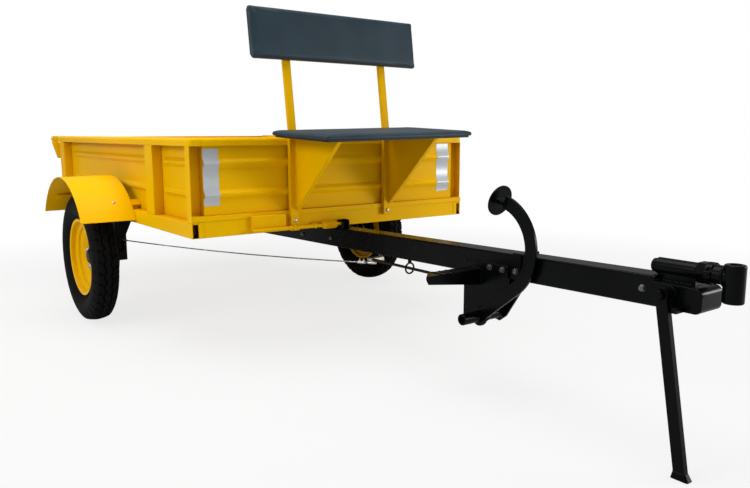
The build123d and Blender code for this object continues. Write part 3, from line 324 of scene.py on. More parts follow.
def makePiece(name, bm, finish, body, sharp=35):
    mesh = bpy.data.meshes.new(name)
    bmesh.ops.recalc_face_normals(bm, faces=bm.faces)
    bm.to_mesh(mesh)
    bm.free()
    mesh.materials.append(finish)
    mesh.shade_smooth()
    mesh.set_sharp_from_angle(angle=math.radians(sharp))
    piece = bpy.data.objects.new(name, mesh)
    scene.collection.objects.link(piece)
    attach(piece, body)
    return piece


# rings of points, joined one to the next, close off into a solid
def skin(bm, rings, closed=False):
    loops = [[bm.verts.new(point) for point in ring] for ring in rings]
    pairs = list(zip(loops, loops[1:]))
    if closed:
        pairs.append((loops[-1], loops[0]))
    for one, two in pairs:
        for k in range(len(one)):
            bm.faces.new((one[k], one[k - 1], two[k - 1], two[k]))
    if not closed:
        bm.faces.new(loops[0])
        bm.faces.new(reversed(loops[-1]))


def ringRound(centre, side, up, radius, count):
    turns = [2 * math.pi * k / count for k in range(count)]
    return [centre + (side * math.cos(a) + up * math.sin(a)) * radius for a in turns]


def across(along):  # two directions square to one
    along = Vector(along).normalized()
    side = along.orthogonal().normalized()
    return along, side, along.cross(side)


def hexReach(angle):
    return 1 / math.cos((angle + math.pi / 6) % (math.pi / 3) - math.pi / 6)


boltShape = {"sides": 24, "head": 0.65, "flats": 0.85, "washer": 1.08, "washerThick": 0.16}


def addBolt(bm, spot, along, size, stub=0.0, turn=0.0):
    along, side, up = across(along)
    spot = Vector(spot)
    flats, head = boltShape["flats"] * size, boltShape["head"] * size
    wide, thick = boltShape["washer"] * size, boltShape["washerThick"] * size
    steps = [(-0.001, wide, 0), (thick * 0.7, wide, 0), (thick, wide * 0.94, 0), (thick, flats, 1),
             (thick + head * 0.78, flats, 1), (thick + head, flats * 0.9, 0)]
    if stub:
        steps += [(thick + head, size * 0.5, 0)]
        count = max(3, int(stub / 0.0016))
        for k in range(count):
            steps += [(thick + head + stub * (k + 0.4) / count, size * (0.5 if k % 2 else 0.44), 0)]
        steps += [(thick + head + stub, size * 0.4, 0)]
    else:
        steps += [(thick + head * 1.03, flats * 0.6, 0)]
    rings = []
    for offset, reach, six in steps:
        ring = []
        for k in range(boltShape["sides"]):
            angle = 2 * math.pi * k / boltShape["sides"] + turn
            far = reach * (hexReach(angle - turn) if six else 1)
            ring.append(spot + along * offset + (side * math.cos(angle) + up * math.sin(angle)) * far)
        rings.append(ring)
    skin(bm, rings)


# round head of a carriage bolt: height and reach in shares of its radius
domeShape = {
    "sides": 20,
    "profile": ((-0.15, 1.0), (0.12, 1.0), (0.34, 0.9), (0.52, 0.7), (0.63, 0.42), (0.68, 0.12)),
}


def addDome(bm, spot, along, radius):
    along, side, up = across(along)
    rings = []
    for lift, share in domeShape["profile"]:
        centre = Vector(spot) + along * lift * radius
        rings.append(ringRound(centre, side, up, share * radius, domeShape["sides"]))
    skin(bm, rings)


# round section carried along a path without twisting
def sweep(bm, path, reach, sides=8, closed=False):
    path = [Vector(p) for p in path]
    last = len(path) - 1
    side = None
    rings = []
    for k, spot in enumerate(path):
        before = path[k - 1] if k or closed else path[0]
        after = path[(k + 1) % len(path)] if k < last or closed else path[last]
        along = (after - before).normalized()
        side = side or along.orthogonal()
        side = (side - along * side.dot(along)).normalized()
        up = along.cross(side)
        radius = reach[k] if isinstance(reach, list) else reach
        rings.append(ringRound(spot, side, up, radius, sides))
    skin(bm, rings, closed)


def fillIn(points, pitch, closed=False):
    points = [Vector(p) for p in points]
    stations = []
    for start, end in zip(points, points[1:] + points[:1] if closed else points[1:]):
        count = max(2, int((end - start).length / pitch))
        stations += [start.lerp(end, k / count) for k in range(count)]
    return stations if closed else stations + [points[-1]]


# a run of weld, rippled where the puddle froze
weldRun = {"pitch": 0.0011, "ripple": 0.16, "stray": 0.05, "tip": 0.35, "taper": 6}


def addWeld(bm, points, radius, seed=1, closed=False):
    rng = random.Random(seed)
    stations = fillIn(points, weldRun["pitch"], closed)
    last = len(stations) - 1
    reach = []
    for k in range(last + 1):
        taper = 1 if closed else min(1, weldRun["tip"] + min(k, last - k) / weldRun["taper"])
        stray = rng.uniform(-weldRun["stray"], weldRun["stray"])
        reach.append(radius * taper * (1 + weldRun["ripple"] * ((k % 3) - 1) + stray))
    sweep(bm, stations, reach, 8, closed)


def circle(centre, along, radius, count=48):
    along, side, up = across(along)
    return ringRound(Vector(centre), side, up, radius, count)


# tyres: a carcass turned about the axle with the tread cut into it
tyreCut = {
    "around": 432, "radius": 0.270, "half": 0.052, "shoulder": 0.263, "shoulderHalf": 0.03744,
    "collar": 0.169, "collarHalf": 0.031, "bead": 0.1553, "beadHalf": 0.027,
    "groove": 0.0075, "grooveAt": 0.0135, "grooveEdge": (0.0018, 0.0034), "zigzag": 0.0042, "waves": 36,
    "slots": 36, "slotHalf": 0.00375, "slotEdge": 0.001, "slant": 9, "slotFrom": (0.0205, 0.0235),
    "slotFoot": (0.232, 0.240), "sideways": 0.262, "bite": 0.6,
    "ridge": 0.0012, "ridgeEdge": (0.0007, 0.0016), "bands": (0.186, 0.222), "wallTop": 0.23,
}


def arcThrough(a, b, c, count):
    (ax, ay), (bx, by), (cx, cy) = a, b, c
    d = 2 * (ax * (by - cy) + bx * (cy - ay) + cx * (ay - by))
    aa, bb, cc = ax * ax + ay * ay, bx * bx + by * by, cx * cx + cy * cy
    ux = (aa * (by - cy) + bb * (cy - ay) + cc * (ay - by)) / d
    uy = (aa * (cx - bx) + bb * (ax - cx) + cc * (bx - ax)) / d
    reach = math.hypot(ax - ux, ay - uy)
    first, last = math.atan2(ay - uy, ax - ux), math.atan2(cy - uy, cx - ux)
    while last - first > math.pi:
        last -= 2 * math.pi
    while last - first < -math.pi:
        last += 2 * math.pi
    turns = [first + (last - first) * k / count for k in range(count + 1)]
    return [(ux + reach * math.cos(t), uy + reach * math.sin(t)) for t in turns]


def smooth(value, low, high):
    t = min(1, max(0, (value - low) / (high - low)))
    return t * t * (3 - 2 * t)


def treadDepth(y, radius, angle):
    cut = tyreCut
    wave = abs(((angle / (2 * math.pi) * cut["waves"]) % 1) * 2 - 1) * 2 - 1  # zigzag from -1 to 1
    depth = 0
    for side in (-1, 1):
        gap = abs(y - side * cut["grooveAt"] - wave * cut["zigzag"])
        depth = max(depth, 1 - smooth(gap, *cut["grooveEdge"]))
    turn = angle * cut["slots"] / (2 * math.pi) + (0.5 if y > 0 else 0) - abs(y) * cut["slant"]
    pitch = 2 * math.pi * cut["radius"] / cut["slots"]
    gap = abs((turn % 1) - 0.5) * pitch
    reach = smooth(abs(y), *cut["slotFrom"]) * smooth(radius, *cut["slotFoot"])
    slot = 1 - smooth(gap, cut["slotHalf"] - cut["slotEdge"], cut["slotHalf"] + cut["slotEdge"])
    depth = max(depth, slot * reach)
    return depth * cut["groove"]


def makeTyre(name, side, body, node):
    cut = tyreCut
    wall = arcThrough((cut["collarHalf"], cut["collar"]),
                      (cut["half"], (cut["collar"] + cut["shoulder"]) / 2),
                      (cut["shoulderHalf"], cut["shoulder"]), 22)
    crown = arcThrough((cut["shoulderHalf"], cut["shoulder"]), (0, cut["radius"]),
                       (-cut["shoulderHalf"], cut["shoulder"]), 44)
    flank = [(-y, r) for y, r in reversed(wall)]
    foot = (cut["beadHalf"], cut["bead"])
    profile = [foot] + wall + crown[1:-1] + flank + [(-foot[0], foot[1])]
    centre = middleOf(node)
    bm = bmesh.new()
    rings = []
    for k in range(cut["around"]):
        angle = 2 * math.pi * k / cut["around"]
        ring = []
        for y, radius in profile:
            depth = treadDepth(y, radius, angle)
            if radius < cut["sideways"]:  # on the shoulder the slots go in sideways
                bands = sum(1 - smooth(abs(radius - band), *cut["ridgeEdge"]) for band in cut["bands"])
                out = math.copysign(cut["ridge"] * bands, y) if radius < cut["wallTop"] else 0
                out -= math.copysign(depth * cut["bite"], y)
                spot = (math.cos(angle) * radius, (y + out) * side, math.sin(angle) * radius)
            else:
                reach = radius - depth
                spot = (math.cos(angle) * reach, y * side, math.sin(angle) * reach)
            ring.append(centre + Vector(spot))
        rings.append(ring)
    skin(bm, rings, closed=True)
    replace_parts(makePiece(name, bm, rubber, body, 50), node)


for sideName, side in (("right", -1), ("left", 1)):
    makeTyre("tyre_tread_" + sideName, side, "wheel_" + sideName, "tyre_" + sideName)
print("tyres cut")

# wheel nuts on studs round the hub, and a valve through the rim
wheelNuts = {"count": 5, "circle": 0.061, "inset": 0.0180, "size": 0.014, "stub": 0.007, "start": 18}
valve = {
    "circle": 0.131, "out": 0.004, "length": 0.034, "radius": 0.0042, "lean": 0.35, "sides": 16,
    "profile": ((0, 1.7), (0.12, 1.7), (0.2, 1.1), (0.62, 1.0), (0.64, 0.75), (0.7, 0.9), (0.76, 0.75),
                (0.82, 0.9), (0.88, 0.75), (1.0, 0.7)),
}
for sideName, side in (("right", -1), ("left", 1)):
    middle = middleOf("rim_" + sideName)
    face = middle.y - side * wheelNuts["inset"]
    bm = bmesh.new()
    for k in range(wheelNuts["count"]):
        angle = math.radians(wheelNuts["start"] + 360 * k / wheelNuts["count"])
        ahead, above = wheelNuts["circle"] * math.cos(angle), wheelNuts["circle"] * math.sin(angle)
        spot = (middle.x + ahead, face, middle.z + above)
        addBolt(bm, spot, (0, side, 0), wheelNuts["size"], wheelNuts["stub"], angle)
    makePiece("wheel_nuts_" + sideName, bm, zinc, "wheel_" + sideName)
    bm = bmesh.new()
    along, sideways, upright = across((-valve["lean"], side, 0))
    root = middle + Vector((valve["circle"], side * valve["out"], 0))
    rings = []
    for share, reach in valve["profile"]:
        centre = root + along * share * valve["length"]
        rings.append(ringRound(centre, sideways, upright, reach * valve["radius"], valve["sides"]))
    skin(bm, rings)
    makePiece("tyre_valve_" + sideName, bm, restRubber, "wheel_" + sideName)
print("wheel nuts on")

# cushions: foam under vinyl, blown up a little by cloth pressure and held flat against its board
seatCushion = {
    "width": 0.630, "depth": 0.350, "thick": 0.0155, "spare": 0.005, "corner": 0.010, "round": 0.006,
    "voxel": 0.0042, "pressure": 3.0, "cap": 0.003, "frames": 20,
    "middle": (0.31075, 0.0, 0.7770), "fall": 0.016 / 0.350, "roll": 0.013 / 0.630,
}
backCushion = {
    "width": 0.728, "depth": 0.178, "thick": 0.0175, "spare": 0.004, "corner": 0.010, "round": 0.006,
    "voxel": 0.0042, "pressure": 3.5, "cap": 0.004, "frames": 20,
    "lean": math.radians(7.7), "sink": 0.009, "shift": (0.0, 0.005, -0.002),
}


def padBlank(shape):
    # plan outline with rounded corners, raised in steps that roll over the upper edge
    half = (shape["width"] / 2 + shape["spare"], shape["depth"] / 2 + shape["spare"])
    outline = []
    for cx, cy, first in ((1, 1, 0), (-1, 1, 90), (-1, -1, 180), (1, -1, 270)):
        for k in range(9):
            a = math.radians(first + 90 * k / 8)
            outline.append(((half[0] - shape["corner"]) * cx + shape["corner"] * math.cos(a),
                            (half[1] - shape["corner"]) * cy + shape["corner"] * math.sin(a)))
    steps = [(0.0, 0.003), (0.003, 0.0)]
    for k in range(6):
        a = math.radians(90 * k / 5)
        rise = shape["thick"] - shape["round"] * (1 - math.sin(a))
        steps.append((rise, shape["round"] * (1 - math.cos(a))))
    rings = []
    for z, pull in steps:
        rings.append([Vector((x * (1 - pull / half[0]), y * (1 - pull / half[1]), z)) for x, y in outline])
    bm = bmesh.new()
    skin(bm, rings)
    bmesh.ops.recalc_face_normals(bm, faces=bm.faces)
    mesh = bpy.data.meshes.new("blank")
    bm.to_mesh(mesh)
    bm.free()
    blank = bpy.data.objects.new("blank", mesh)
    scene.collection.objects.link(blank)
    return blank


def bakeDown(piece):  # the modifiers' result becomes the mesh
    graph = bpy.context.evaluated_depsgraph_get()
    mesh = bpy.data.meshes.new_from_object(piece.evaluated_get(graph))
    piece.modifiers.clear()
    piece.data = mesh


def inflate(piece, shape):
    remesh = piece.modifiers.new("even", "REMESH")
    remesh.mode = "VOXEL"
    remesh.voxel_size = shape["voxel"]
    bakeDown(piece)
    rest = [v.co.copy() for v in piece.data.vertices]
    hold = piece.vertex_groups.new(name="board")
    hold.add([k for k, p in enumerate(rest) if p.z < shape["voxel"] * 0.8], 1.0, "REPLACE")
    fill = piece.modifiers.new("fill", "CLOTH")
    fill.settings.vertex_group_mass = "board"
    fill.settings.use_pressure = True
    fill.settings.uniform_pressure_force = shape["pressure"]
    fill.settings.effector_weights.gravity = 0.0
    fill.settings.quality = 4
    for k in range(1, shape["frames"] + 1):
        scene.frame_set(k)
    graph = bpy.context.evaluated_depsgraph_get()
    moved = [v.co.copy() for v in piece.evaluated_get(graph).data.vertices]
    piece.modifiers.clear()
    scene.frame_set(1)
    for vert, before, after in zip(piece.data.vertices, rest, moved):
        shift = after - before
        if shift.length > shape["cap"]:
            shift *= shape["cap"] / shift.length
        shift.z = max(shift.z, -before.z)
        vert.co = before + shift


def makeCushion(name, node, place, shape):
    piece = padBlank(shape)
    piece.name = name
    inflate(piece, shape)
    piece.data.transform(place)
    piece.data.materials.clear()
    piece.data.materials.append(vinyl)
    piece.data.shade_smooth()
    smoothed = piece.modifiers.new("smooth", "SMOOTH")
    smoothed.factor, smoothed.iterations = 0.5, 4
    divide = piece.modifiers.new("divide", "SUBSURF")
    divide.levels = divide.render_levels = 1
    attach(piece, "bed")
    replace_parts(piece, node)


# a frame with its length along one direction and its thickness along another
def standOn(root, along, out):
    out = out.normalized()
    along = (along - out * along.dot(out)).normalized()
    return Matrix.Translation(root) @ Matrix((along, out.cross(along), out)).transposed().to_4x4()


seatOut = Vector((seatCushion["fall"], -seatCushion["roll"], 1))
seatPlace = standOn(Vector(seatCushion["middle"]), Vector((0, 1, 0)), seatOut)
makeCushion("seat_cushion", "seat_pad", seatPlace, seatCushion)
backOut = Vector((math.cos(backCushion["lean"]), 0, math.sin(backCushion["lean"])))
backRoot = middleOf("back_pad") - backOut * backCushion["sink"] + Vector(backCushion["shift"])
backPlace = standOn(backRoot, Vector((0, 1, 0)), backOut)
makeCushion("back_cushion", "back_pad", backPlace, backCushion)
print("cushions filled")

# silver tape down the front wall, pressed over the ribs
tapeStrips = {
    "near": {"y": (-0.569, -0.512), "z": (0.540, 0.735)},
    "far": {"y": (0.4845, 0.550), "z": (0.541, 0.740)},
    "thick": 0.0009, "tuck": 0.0006,
}
ribShape = {"levels": (0.57695, 0.68437), "base": 0.0165, "crest": 0.0046, "depth": 0.010}


def wallProfile(low, high, face):
    points = [(face, low)]
    for level in ribShape["levels"]:
        points += [(face, level - ribShape["base"]), (face + ribShape["depth"], level - ribShape["crest"]),
                   (face + ribShape["depth"], level + ribShape["crest"]), (face, level + ribShape["base"])]
    points = [p for p in points if low <= p[1] <= high]
    return points + [(face, high)]


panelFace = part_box("front_wall")[1].x - ribShape["depth"]
for name in ("near", "far"):
    strip = tapeStrips[name]
    outline = wallProfile(*strip["z"], panelFace)
    edge, otherEdge = strip["y"]
    bm = bmesh.new()
    rings = []
    for x, z in outline:
        under, over = x - tapeStrips["tuck"], x + tapeStrips["thick"]
        corners = ((under, edge), (over, edge), (over, otherEdge), (under, otherEdge))
        rings.append([Vector((reach, y, z)) for reach, y in corners])
    skin(bm, rings)
    makePiece("reflective_tape_" + name, bm, tape, "bed", 60)
print("tapes stuck on")

# brake cables: wire rope in place of the round stand-ins, with sleeves, screws and a shackle at the yoke
cableRun = {
    "start": (-0.64225, 0.6225, 0.342), "end": (0.345, 0.017, 0.318), "sag": 0.012, "radius": 0.0024,
    "strands": 6, "lay": 0.032, "pitch": 0.0032,
    "sleeves": ((0.0, 0.028, 0.0044), (0.938, 0.966, 0.0056), (0.974, 1.0, 0.0052)),  # from, to, radius
    "screws": (0.946, 0.959, 0.987), "screwLift": 0.0046, "screwSize": 0.0048, "screwStub": 0.004,
}
shackle = {"spot": (0.3265, 0.0155, 0.3245), "facing": (0.25, 1, 0), "radius": 0.0105, "wire": 0.0022}


def addRope(bm, path, rope):
    along, side, up = across(path[-1] - path[0])
    for strand in range(rope["strands"]):
        points = []
        for k, spot in enumerate(path):
            a = 2 * math.pi * (strand / rope["strands"] + k * rope["pitch"] / rope["lay"])
            points.append(spot + (side * math.cos(a) + up * math.sin(a)) * rope["radius"] * 0.6)
        sweep(bm, points, rope["radius"] * 0.42, 5)


ropes, sleeves = bmesh.new(), bmesh.new()
for hand in (-1, 1):
    start = Vector(cableRun["start"]) * Vector((1, hand, 1))
    end = Vector(cableRun["end"]) * Vector((1, hand, 1))
    count = int((end - start).length / cableRun["pitch"])
    line = []
    for k in range(count + 1):
        drop = 4 * cableRun["sag"] * k / count * (1 - k / count)
        line.append(start.lerp(end, k / count) - Vector((0, 0, drop)))
    addRope(ropes, line, cableRun)
    for first, last, radius in cableRun["sleeves"]:
        run = line[int(first * count):int(last * count) + 1]
        reach = [radius * (0.8 if k in (0, len(run) - 1) else 1) for k in range(len(run))]
        sweep(sleeves, run, reach, 12)
    for share in cableRun["screws"]:
        spot = line[int(share * count)] + Vector((0, 0, cableRun["screwLift"]))
        addBolt(sleeves, spot, (0, 0, 1), cableRun["screwSize"], cableRun["screwStub"])
    ring = circle(Vector(shackle["spot"]) * Vector((1, hand, 1)), shackle["facing"], shackle["radius"], 32)
    sweep(sleeves, ring, shackle["wire"], 8, closed=True)
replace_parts(makePiece("brake_wire_ropes", ropes, steelRope, "chassis", 60), "brake_cables")
makePiece("cable_clamps", sleeves, zinc, "chassis")

# screws and bolts, by body: place, direction they face, head radius
roundHeads = {
    "post": [((0.13375, y, z), (1, 0, 0), 0.0078) for y, z in ((-0.228, 0.470), (0.200, 0.480))],
    "gate": [((-1.63425, side * 0.641, 0.758), (0, side, 0), 0.0075) for side in (-1, 1)],
    "guard": [],
}
guardArc = {"middle": (-0.73225, 0.0, 0.270), "radius": 0.3395, "angle": 44, "row": 0.689, "head": 0.006}
for side in (-1, 1):
    for angle in (-guardArc["angle"], guardArc["angle"]):
        out = Vector((math.sin(math.radians(angle)), 0, math.cos(math.radians(angle))))
        spot = Vector(guardArc["middle"]) + out * guardArc["radius"] + Vector((0, side * guardArc["row"], 0))
        roundHeads["guard"].append((spot, out, guardArc["head"]))
for name, heads in roundHeads.items():
    bm = bmesh.new()
    for spot, along, radius in heads:
        addDome(bm, spot, along, radius)
    makePiece(name + "_screws", bm, zinc, "tailgate" if name == "gate" else "bed", 50)
drawbarBolts = {
    "size": 0.0085, "stub": 0.006,
    "spots": [(-0.134, -0.035, 0.372), (0.0768, -0.035, 0.380), (1.42975, -0.035, 0.417),
              (0.845, -0.043, 0.372), (0.935, -0.043, 0.394), (0.985, -0.043, 0.394), (1.033, -0.040, 0.396)],
}
bm = bmesh.new()
for x, y, z in drawbarBolts["spots"]:
    addBolt(bm, (x, y, z), (0, -1, 0), drawbarBolts["size"], turn=x)
    addBolt(bm, (x, -y, z), (0, 1, 0), drawbarBolts["size"], drawbarBolts["stub"], turn=2 * x)
makePiece("drawbar_bolts", bm, blackZinc, "chassis")
print("ropes and bolts on")

# spring round the latch bolt, painted over
latchCoil = {
    "start": (0.14375, -0.115, 0.445), "length": 0.055, "reach": 0.0138, "wire": 0.0021,
    "turns": 8, "steps": 22,
}
steps = latchCoil["turns"] * latchCoil["steps"]
coil = []
for k in range(steps + 1):
    a = 2 * math.pi * latchCoil["turns"] * k / steps
    spread = Vector((math.cos(a), 0, math.sin(a))) * latchCoil["reach"]
    coil.append(Vector(latchCoil["start"]) + spread + Vector((0, latchCoil["length"] * k / steps, 0)))
bm = bmesh.new()
sweep(bm, coil, latchCoil["wire"], 8)
makePiece("latch_spring", bm, yellow, "bed", 60)

# turned lip along the top of the front rail
railLip = {"face": 0.11575, "top": 0.5066, "low": 0.4885, "tuck": 0.001, "proud": 0.0022, "half": 0.618}
profile = [(-railLip["tuck"], railLip["top"]), (railLip["proud"], railLip["top"]),
           (railLip["proud"], railLip["low"] + 0.0016), (railLip["proud"] * 0.6, railLip["low"] + 0.0004),
           (-railLip["tuck"], railLip["low"])]
rings = []
for share in (-1, -0.5, 0, 0.5, 1):
    rings.append([Vector((railLip["face"] + x, railLip["half"] * share, z)) for x, z in profile])
bm = bmesh.new()
skin(bm, rings)
makePiece("rail_lip", bm, yellow, "bed", 30)

# plates that close the front rail's ends
railEnd = {"rear": 0.1120, "front": 0.1166, "low": 0.4325, "top": 0.4885, "tuck": 0.001, "reach": 0.0175}
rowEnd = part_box("end_rails")[1].y
profile = [(railEnd["rear"], railEnd["low"]), (railEnd["front"], railEnd["low"]),
           (railEnd["front"], railEnd["top"]), (railEnd["rear"], railEnd["top"])]
bm = bmesh.new()
for side in (-1, 1):
    rings = []
    for y in (rowEnd - railEnd["tuck"], rowEnd + railEnd["reach"] * 0.5, rowEnd + railEnd["reach"]):
        rings.append([Vector((x, side * y, z)) for x, z in profile])
    skin(bm, rings)
makePiece("rail_end_plates", bm, yellow, "bed", 30)

# castle nut on the hitch shaft, with its split pin
castle = {
    "axis": 0.4719, "rear": 1.5722, "base": 0.006, "tooth": 0.009, "inner": 0.0214, "outer": 0.0262,
    "teeth": 6, "arc": 19, "overlap": 0.0005, "pinAt": 0.0045, "pinWire": 0.0018,
}
bm = bmesh.new()


def ringCut(x, angle):
    c, s = math.cos(angle), math.sin(angle)
    return [Vector((x[k], reach * c, castle["axis"] + reach * s)) for k, reach in
            ((0, castle["inner"]), (1, castle["inner"]), (1, castle["outer"]), (0, castle["outer"]))]


base = (castle["rear"], castle["rear"] + castle["base"])
skin(bm, [ringCut(base, 2 * math.pi * k / 48) for k in range(48)], closed=True)
for tooth in range(castle["teeth"]):
    span = [math.radians(60 * tooth + castle["arc"] * (k / 4 * 2 - 1)) for k in range(5)]
    skin(bm, [ringCut((base[1] - castle["overlap"], base[1] + castle["tooth"]), a) for a in span])
pinSpot = Vector((base[1] + castle["pinAt"], 0, castle["axis"]))
pinBends = [(0, -0.034, 0.004), (0, -0.028, 0), (0, 0.027, 0.0005), (0.003, 0.033, -0.006)]
sweep(bm, fillIn([pinSpot + Vector(bend) for bend in pinBends], 0.002), castle["pinWire"], 8)
makePiece("castle_nut", bm, black, "hitch", 30)

# weld runs
weldRuns = {
    "bed": {"finish": yellow, "slot": "yellow_paint", "runs": [], "loops": []},
    "chassis": {"finish": black, "slot": "black_paint", "runs": [], "loops": []},
    "hitch": {"finish": black, "slot": "black_paint", "runs": [], "loops": []},
}
for row, foot in ((-0.228, 0.436), (0.200, 0.466)):
    for edge in (-0.0172, 0.0172):
        weldRuns["bed"]["runs"].append(([(0.1162, row + edge, foot), (0.1162, row + edge, 0.487)], 0.0028))
    weldRuns["bed"]["runs"].append(([(0.1341, row + 0.0046, 0.52), (0.1341, row + 0.0046, 0.745)], 0.0025))
for side in (-1, 1):
    weldRuns["chassis"]["runs"] += [
        ([(1.4602, side * 0.0354, 0.386), (1.4602, side * 0.0354, 0.4396)], 0.0034),
        ([(1.466, side * 0.0143, 0.4403), (1.545, side * 0.0143, 0.4403)], 0.0032),
        ([(0.832, side * 0.0352, 0.4044), (1.002, side * 0.0352, 0.4044)], 0.0030),
        ([(0.856, side * 0.0434, 0.3858), (0.900, side * 0.0434, 0.3858)], 0.0026),
        ([(0.8538, side * 0.0434, 0.384), (0.8538, side * 0.0434, 0.340)], 0.0026),
        ([(0.9019, side * 0.0434, 0.384), (0.9019, side * 0.0434, 0.340)], 0.0026),
        ([(-0.700, side * 0.0354, 0.3793), (-0.598, side * 0.0354, 0.3793)], 0.0030),
        ([(-0.7038, side * 0.0354, 0.340), (-0.7038, side * 0.0354, 0.405)], 0.0034),
        ([(-0.7605, side * 0.278, 0.367), (-0.7605, side * 0.278, 0.403)], 0.0030),
        ([(0.130, -0.020 + side * 0.0163, 0.4262), (0.158, -0.020 + side * 0.0163, 0.4266)], 0.0026),
    ]
weldRuns["chassis"]["runs"].append(([(1.4602, -0.033, 0.4402), (1.4602, 0.033, 0.4402)], 0.0034))
weldRuns["chassis"]["loops"].append((circle((1.50575, -0.0452, 0.4209), (0, 1, 0), 0.0143), 0.0026))
weldRuns["hitch"]["loops"].append((circle((1.6100, 0.0, 0.4719), (1, 0, 0), 0.0222), 0.0034))
rimSeam = {"out": 0.0042, "reach": 0.1276, "radius": 0.0026}
for body, table in weldRuns.items():
    bm = bmesh.new()
    for k, (points, radius) in enumerate(table["runs"]):
        addWeld(bm, points, radius, k)
    for k, (points, radius) in enumerate(table["loops"]):
        addWeld(bm, points, radius, 50 + k, closed=True)
    makePiece(body + "_welds", bm, table["finish"], body, 60)
for sideName, side in (("right", -1), ("left", 1)):
    bm = bmesh.new()
    middle = middleOf("rim_" + sideName)
    seam = circle(middle + Vector((0, side * rimSeam["out"], 0)), (0, 1, 0), rimSeam["reach"], 96)
    addWeld(bm, seam, rimSeam["radius"], 7, closed=True)
    makePiece("rim_weld_" + sideName, bm, yellowWheel, "wheel_" + sideName, 60)
print("welds run")

# grip bars on the pedal pad and the foot rests
gripBar = {"sink": 0.0006, "width": 0.006, "run": 0.2, "endRise": 0.55, "crest": 0.65}
pedalGrip = {
    "middle": (0.97906, -0.051, 0.5945), "tilt": math.radians(17), "lift": 0.005, "reach": 0.0405,
    "height": 0.0028, "rows": (-0.026, -0.013, 0, 0.013, 0.026),
}
restGrip = {
    "rear": 0.858, "front": 0.898, "top": 0.3857, "height": 0.0022,
    "rows": (0.075, 0.100, 0.125, 0.150, 0.175, 0.200),
}


def addBar(bm, start, end, out, height):
    along = (end - start).normalized()
    wide = out.cross(along) * gripBar["width"] / 2
    ramp = along * gripBar["width"] * gripBar["run"]
    rings = []
    ends = gripBar["endRise"]
    for spot, rise in ((start, ends), (start + ramp, 1), (end - ramp, 1), (end, ends)):
        low, high = spot - out * gripBar["sink"], spot + out * height * rise
        rings.append([low - wide, high - wide * gripBar["crest"], high + wide * gripBar["crest"], low + wide])
    skin(bm, rings)


bm = bmesh.new()
padOut = Vector((-math.cos(pedalGrip["tilt"]), 0, math.sin(pedalGrip["tilt"])))
padUp = Vector((math.sin(pedalGrip["tilt"]), 0, math.cos(pedalGrip["tilt"])))
for offset in pedalGrip["rows"]:
    half = Vector((0, math.sqrt(pedalGrip["reach"] ** 2 - offset ** 2), 0))
    spot = Vector(pedalGrip["middle"]) + padOut * pedalGrip["lift"] + padUp * offset
    addBar(bm, spot - half, spot + half, padOut, pedalGrip["height"])
for side in (-1, 1):
    for y in restGrip["rows"]:
        rear, front = [Vector((restGrip[key], side * y, restGrip["top"])) for key in ("rear", "front")]
        addBar(bm, rear, front, Vector((0, 0, 1)), restGrip["height"])
makePiece("grip_bars", bm, black, "chassis", 30)
print("grips on")

# floor, light and camera: the floor fades to white away from the trailer and keeps its shadow
floorLook = {"matt": 0.62, "fade": (2.0, 3.6), "glow": 0.78, "shine": 0.3, "radius": 60, "drop": 0.0005}
floor = Finish("pale_floor")
reach = floor.node("ShaderNodeVectorMath", {"operation": "LENGTH"}, {0: floor.place}, "Value")
away = floor.step(reach, *floorLook["fade"])
seen = floor.node("ShaderNodeLightPath", pick="Is Camera Ray")
shine = floor.node("ShaderNodeLightPath", pick="Is Glossy Ray")
matt = floor.node("ShaderNodeBsdfDiffuse", {}, {"Color": (*[floorLook["matt"]] * 3, 1)})
glow = floor.node("ShaderNodeEmission", {}, {"Color": (1, 1, 1, 1), "Strength": 1.0})
share = (floorLook["glow"] + (1 - floorLook["glow"]) * away) * seen + floorLook["shine"] * away * shine
both = floor.node("ShaderNodeMixShader", {}, {0: share, 1: matt, 2: glow})
under = floor.node("ShaderNodeNewGeometry", pick="Backfacing")  # the floor shows only from above
clear = floor.node("ShaderNodeBsdfTransparent")
both = floor.node("ShaderNodeMixShader", {}, {0: under, 1: both, 2: clear})
out = floor.tree.nodes.new("ShaderNodeOutputMaterial")
floor.tree.links.new(both.socket, out.inputs["Surface"])
bm = bmesh.new()
bmesh.ops.create_circle(bm, cap_ends=True, segments=96, radius=floorLook["radius"])
mesh = bpy.data.meshes.new("studio_floor")
bm.to_mesh(mesh)
bm.free()
mesh.materials.append(floor.material)
ground = bpy.data.objects.new("studio_floor", mesh)
ground.location.z = -floorLook["drop"]
scene.collection.objects.link(ground)

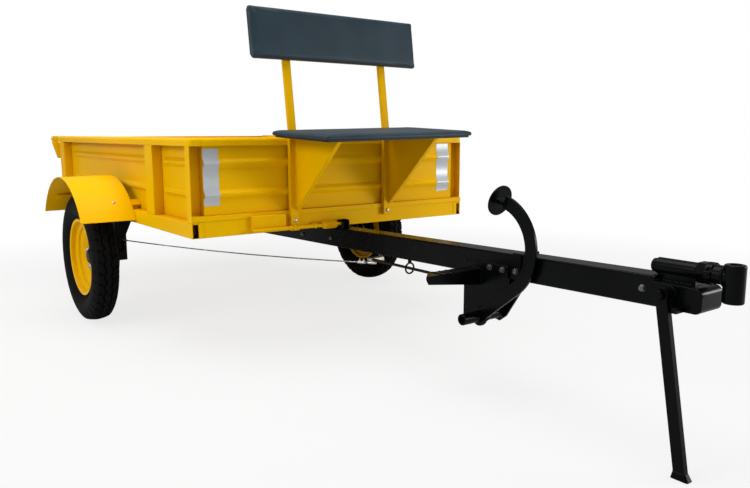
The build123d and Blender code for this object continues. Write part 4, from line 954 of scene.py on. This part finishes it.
world = bpy.data.worlds.new("studio")
world.use_nodes = True
scene.world = world
tree = world.node_tree
tree.nodes.clear()
rays = tree.nodes.new("ShaderNodeLightPath")
dome = tree.nodes.new("ShaderNodeBackground")
dome.inputs["Color"].default_value = (1, 1, 1, 1)
dome.inputs["Strength"].default_value = 0.30
backdrop = tree.nodes.new("ShaderNodeBackground")
backdrop.inputs["Color"].default_value = (1, 1, 1, 1)
backdrop.inputs["Strength"].default_value = 1.0
swap = tree.nodes.new("ShaderNodeMixShader")
tree.links.new(rays.outputs["Is Camera Ray"], swap.inputs[0])
tree.links.new(dome.outputs[0], swap.inputs[1])
tree.links.new(backdrop.outputs[0], swap.inputs[2])
tree.links.new(swap.outputs[0], tree.nodes.new("ShaderNodeOutputWorld").inputs["Surface"])

lamps = {
    "overhead": {"spot": (0.2, -0.6, 5.2), "aim": (-0.2, 0.0, 0.4), "size": (5.0, 4.0), "power": 254},
    "front": {"spot": (3.6, 3.5, 1.1), "aim": (0.2, 0.3, 0.5), "size": (1.6, 1.0), "power": 88},
    "side": {"spot": (0.2, -4.8, 2.6), "aim": (-0.4, 0.0, 0.5), "size": (2.6, 1.6), "power": 88},
}
for name, lamp in lamps.items():
    light = bpy.data.lights.new(name, "AREA")
    light.shape = "RECTANGLE"
    light.size, light.size_y = lamp["size"]
    light.energy = lamp["power"]
    holder = bpy.data.objects.new(name, light)
    holder.location = lamp["spot"]
    holder.rotation_euler = (Vector(lamp["aim"]) - Vector(lamp["spot"])).to_track_quat("-Z", "Y").to_euler()
    scene.collection.objects.link(holder)

viewpoint = {"spot": (2.379383, -1.555239, 0.787688), "right": (0.602131, 0.798395, -0.0018),
             "up": (-0.122621, 0.094706, 0.987924), "ahead": (-0.788924, 0.59464, -0.154926), "lens": 34.1383}
camera = bpy.data.cameras.new("camera")
camera.sensor_width = 36
camera.lens = viewpoint["lens"]
camera.clip_start, camera.clip_end = 0.05, 200
eye = bpy.data.objects.new("camera", camera)
scene.collection.objects.link(eye)
turn = Matrix((viewpoint["right"], viewpoint["up"], [-c for c in viewpoint["ahead"]])).transposed()
eye.matrix_world = Matrix.Translation(viewpoint["spot"]) @ turn.to_4x4()
scene.camera = eye
scene.view_settings.view_transform = "Standard"
print("studio lit")
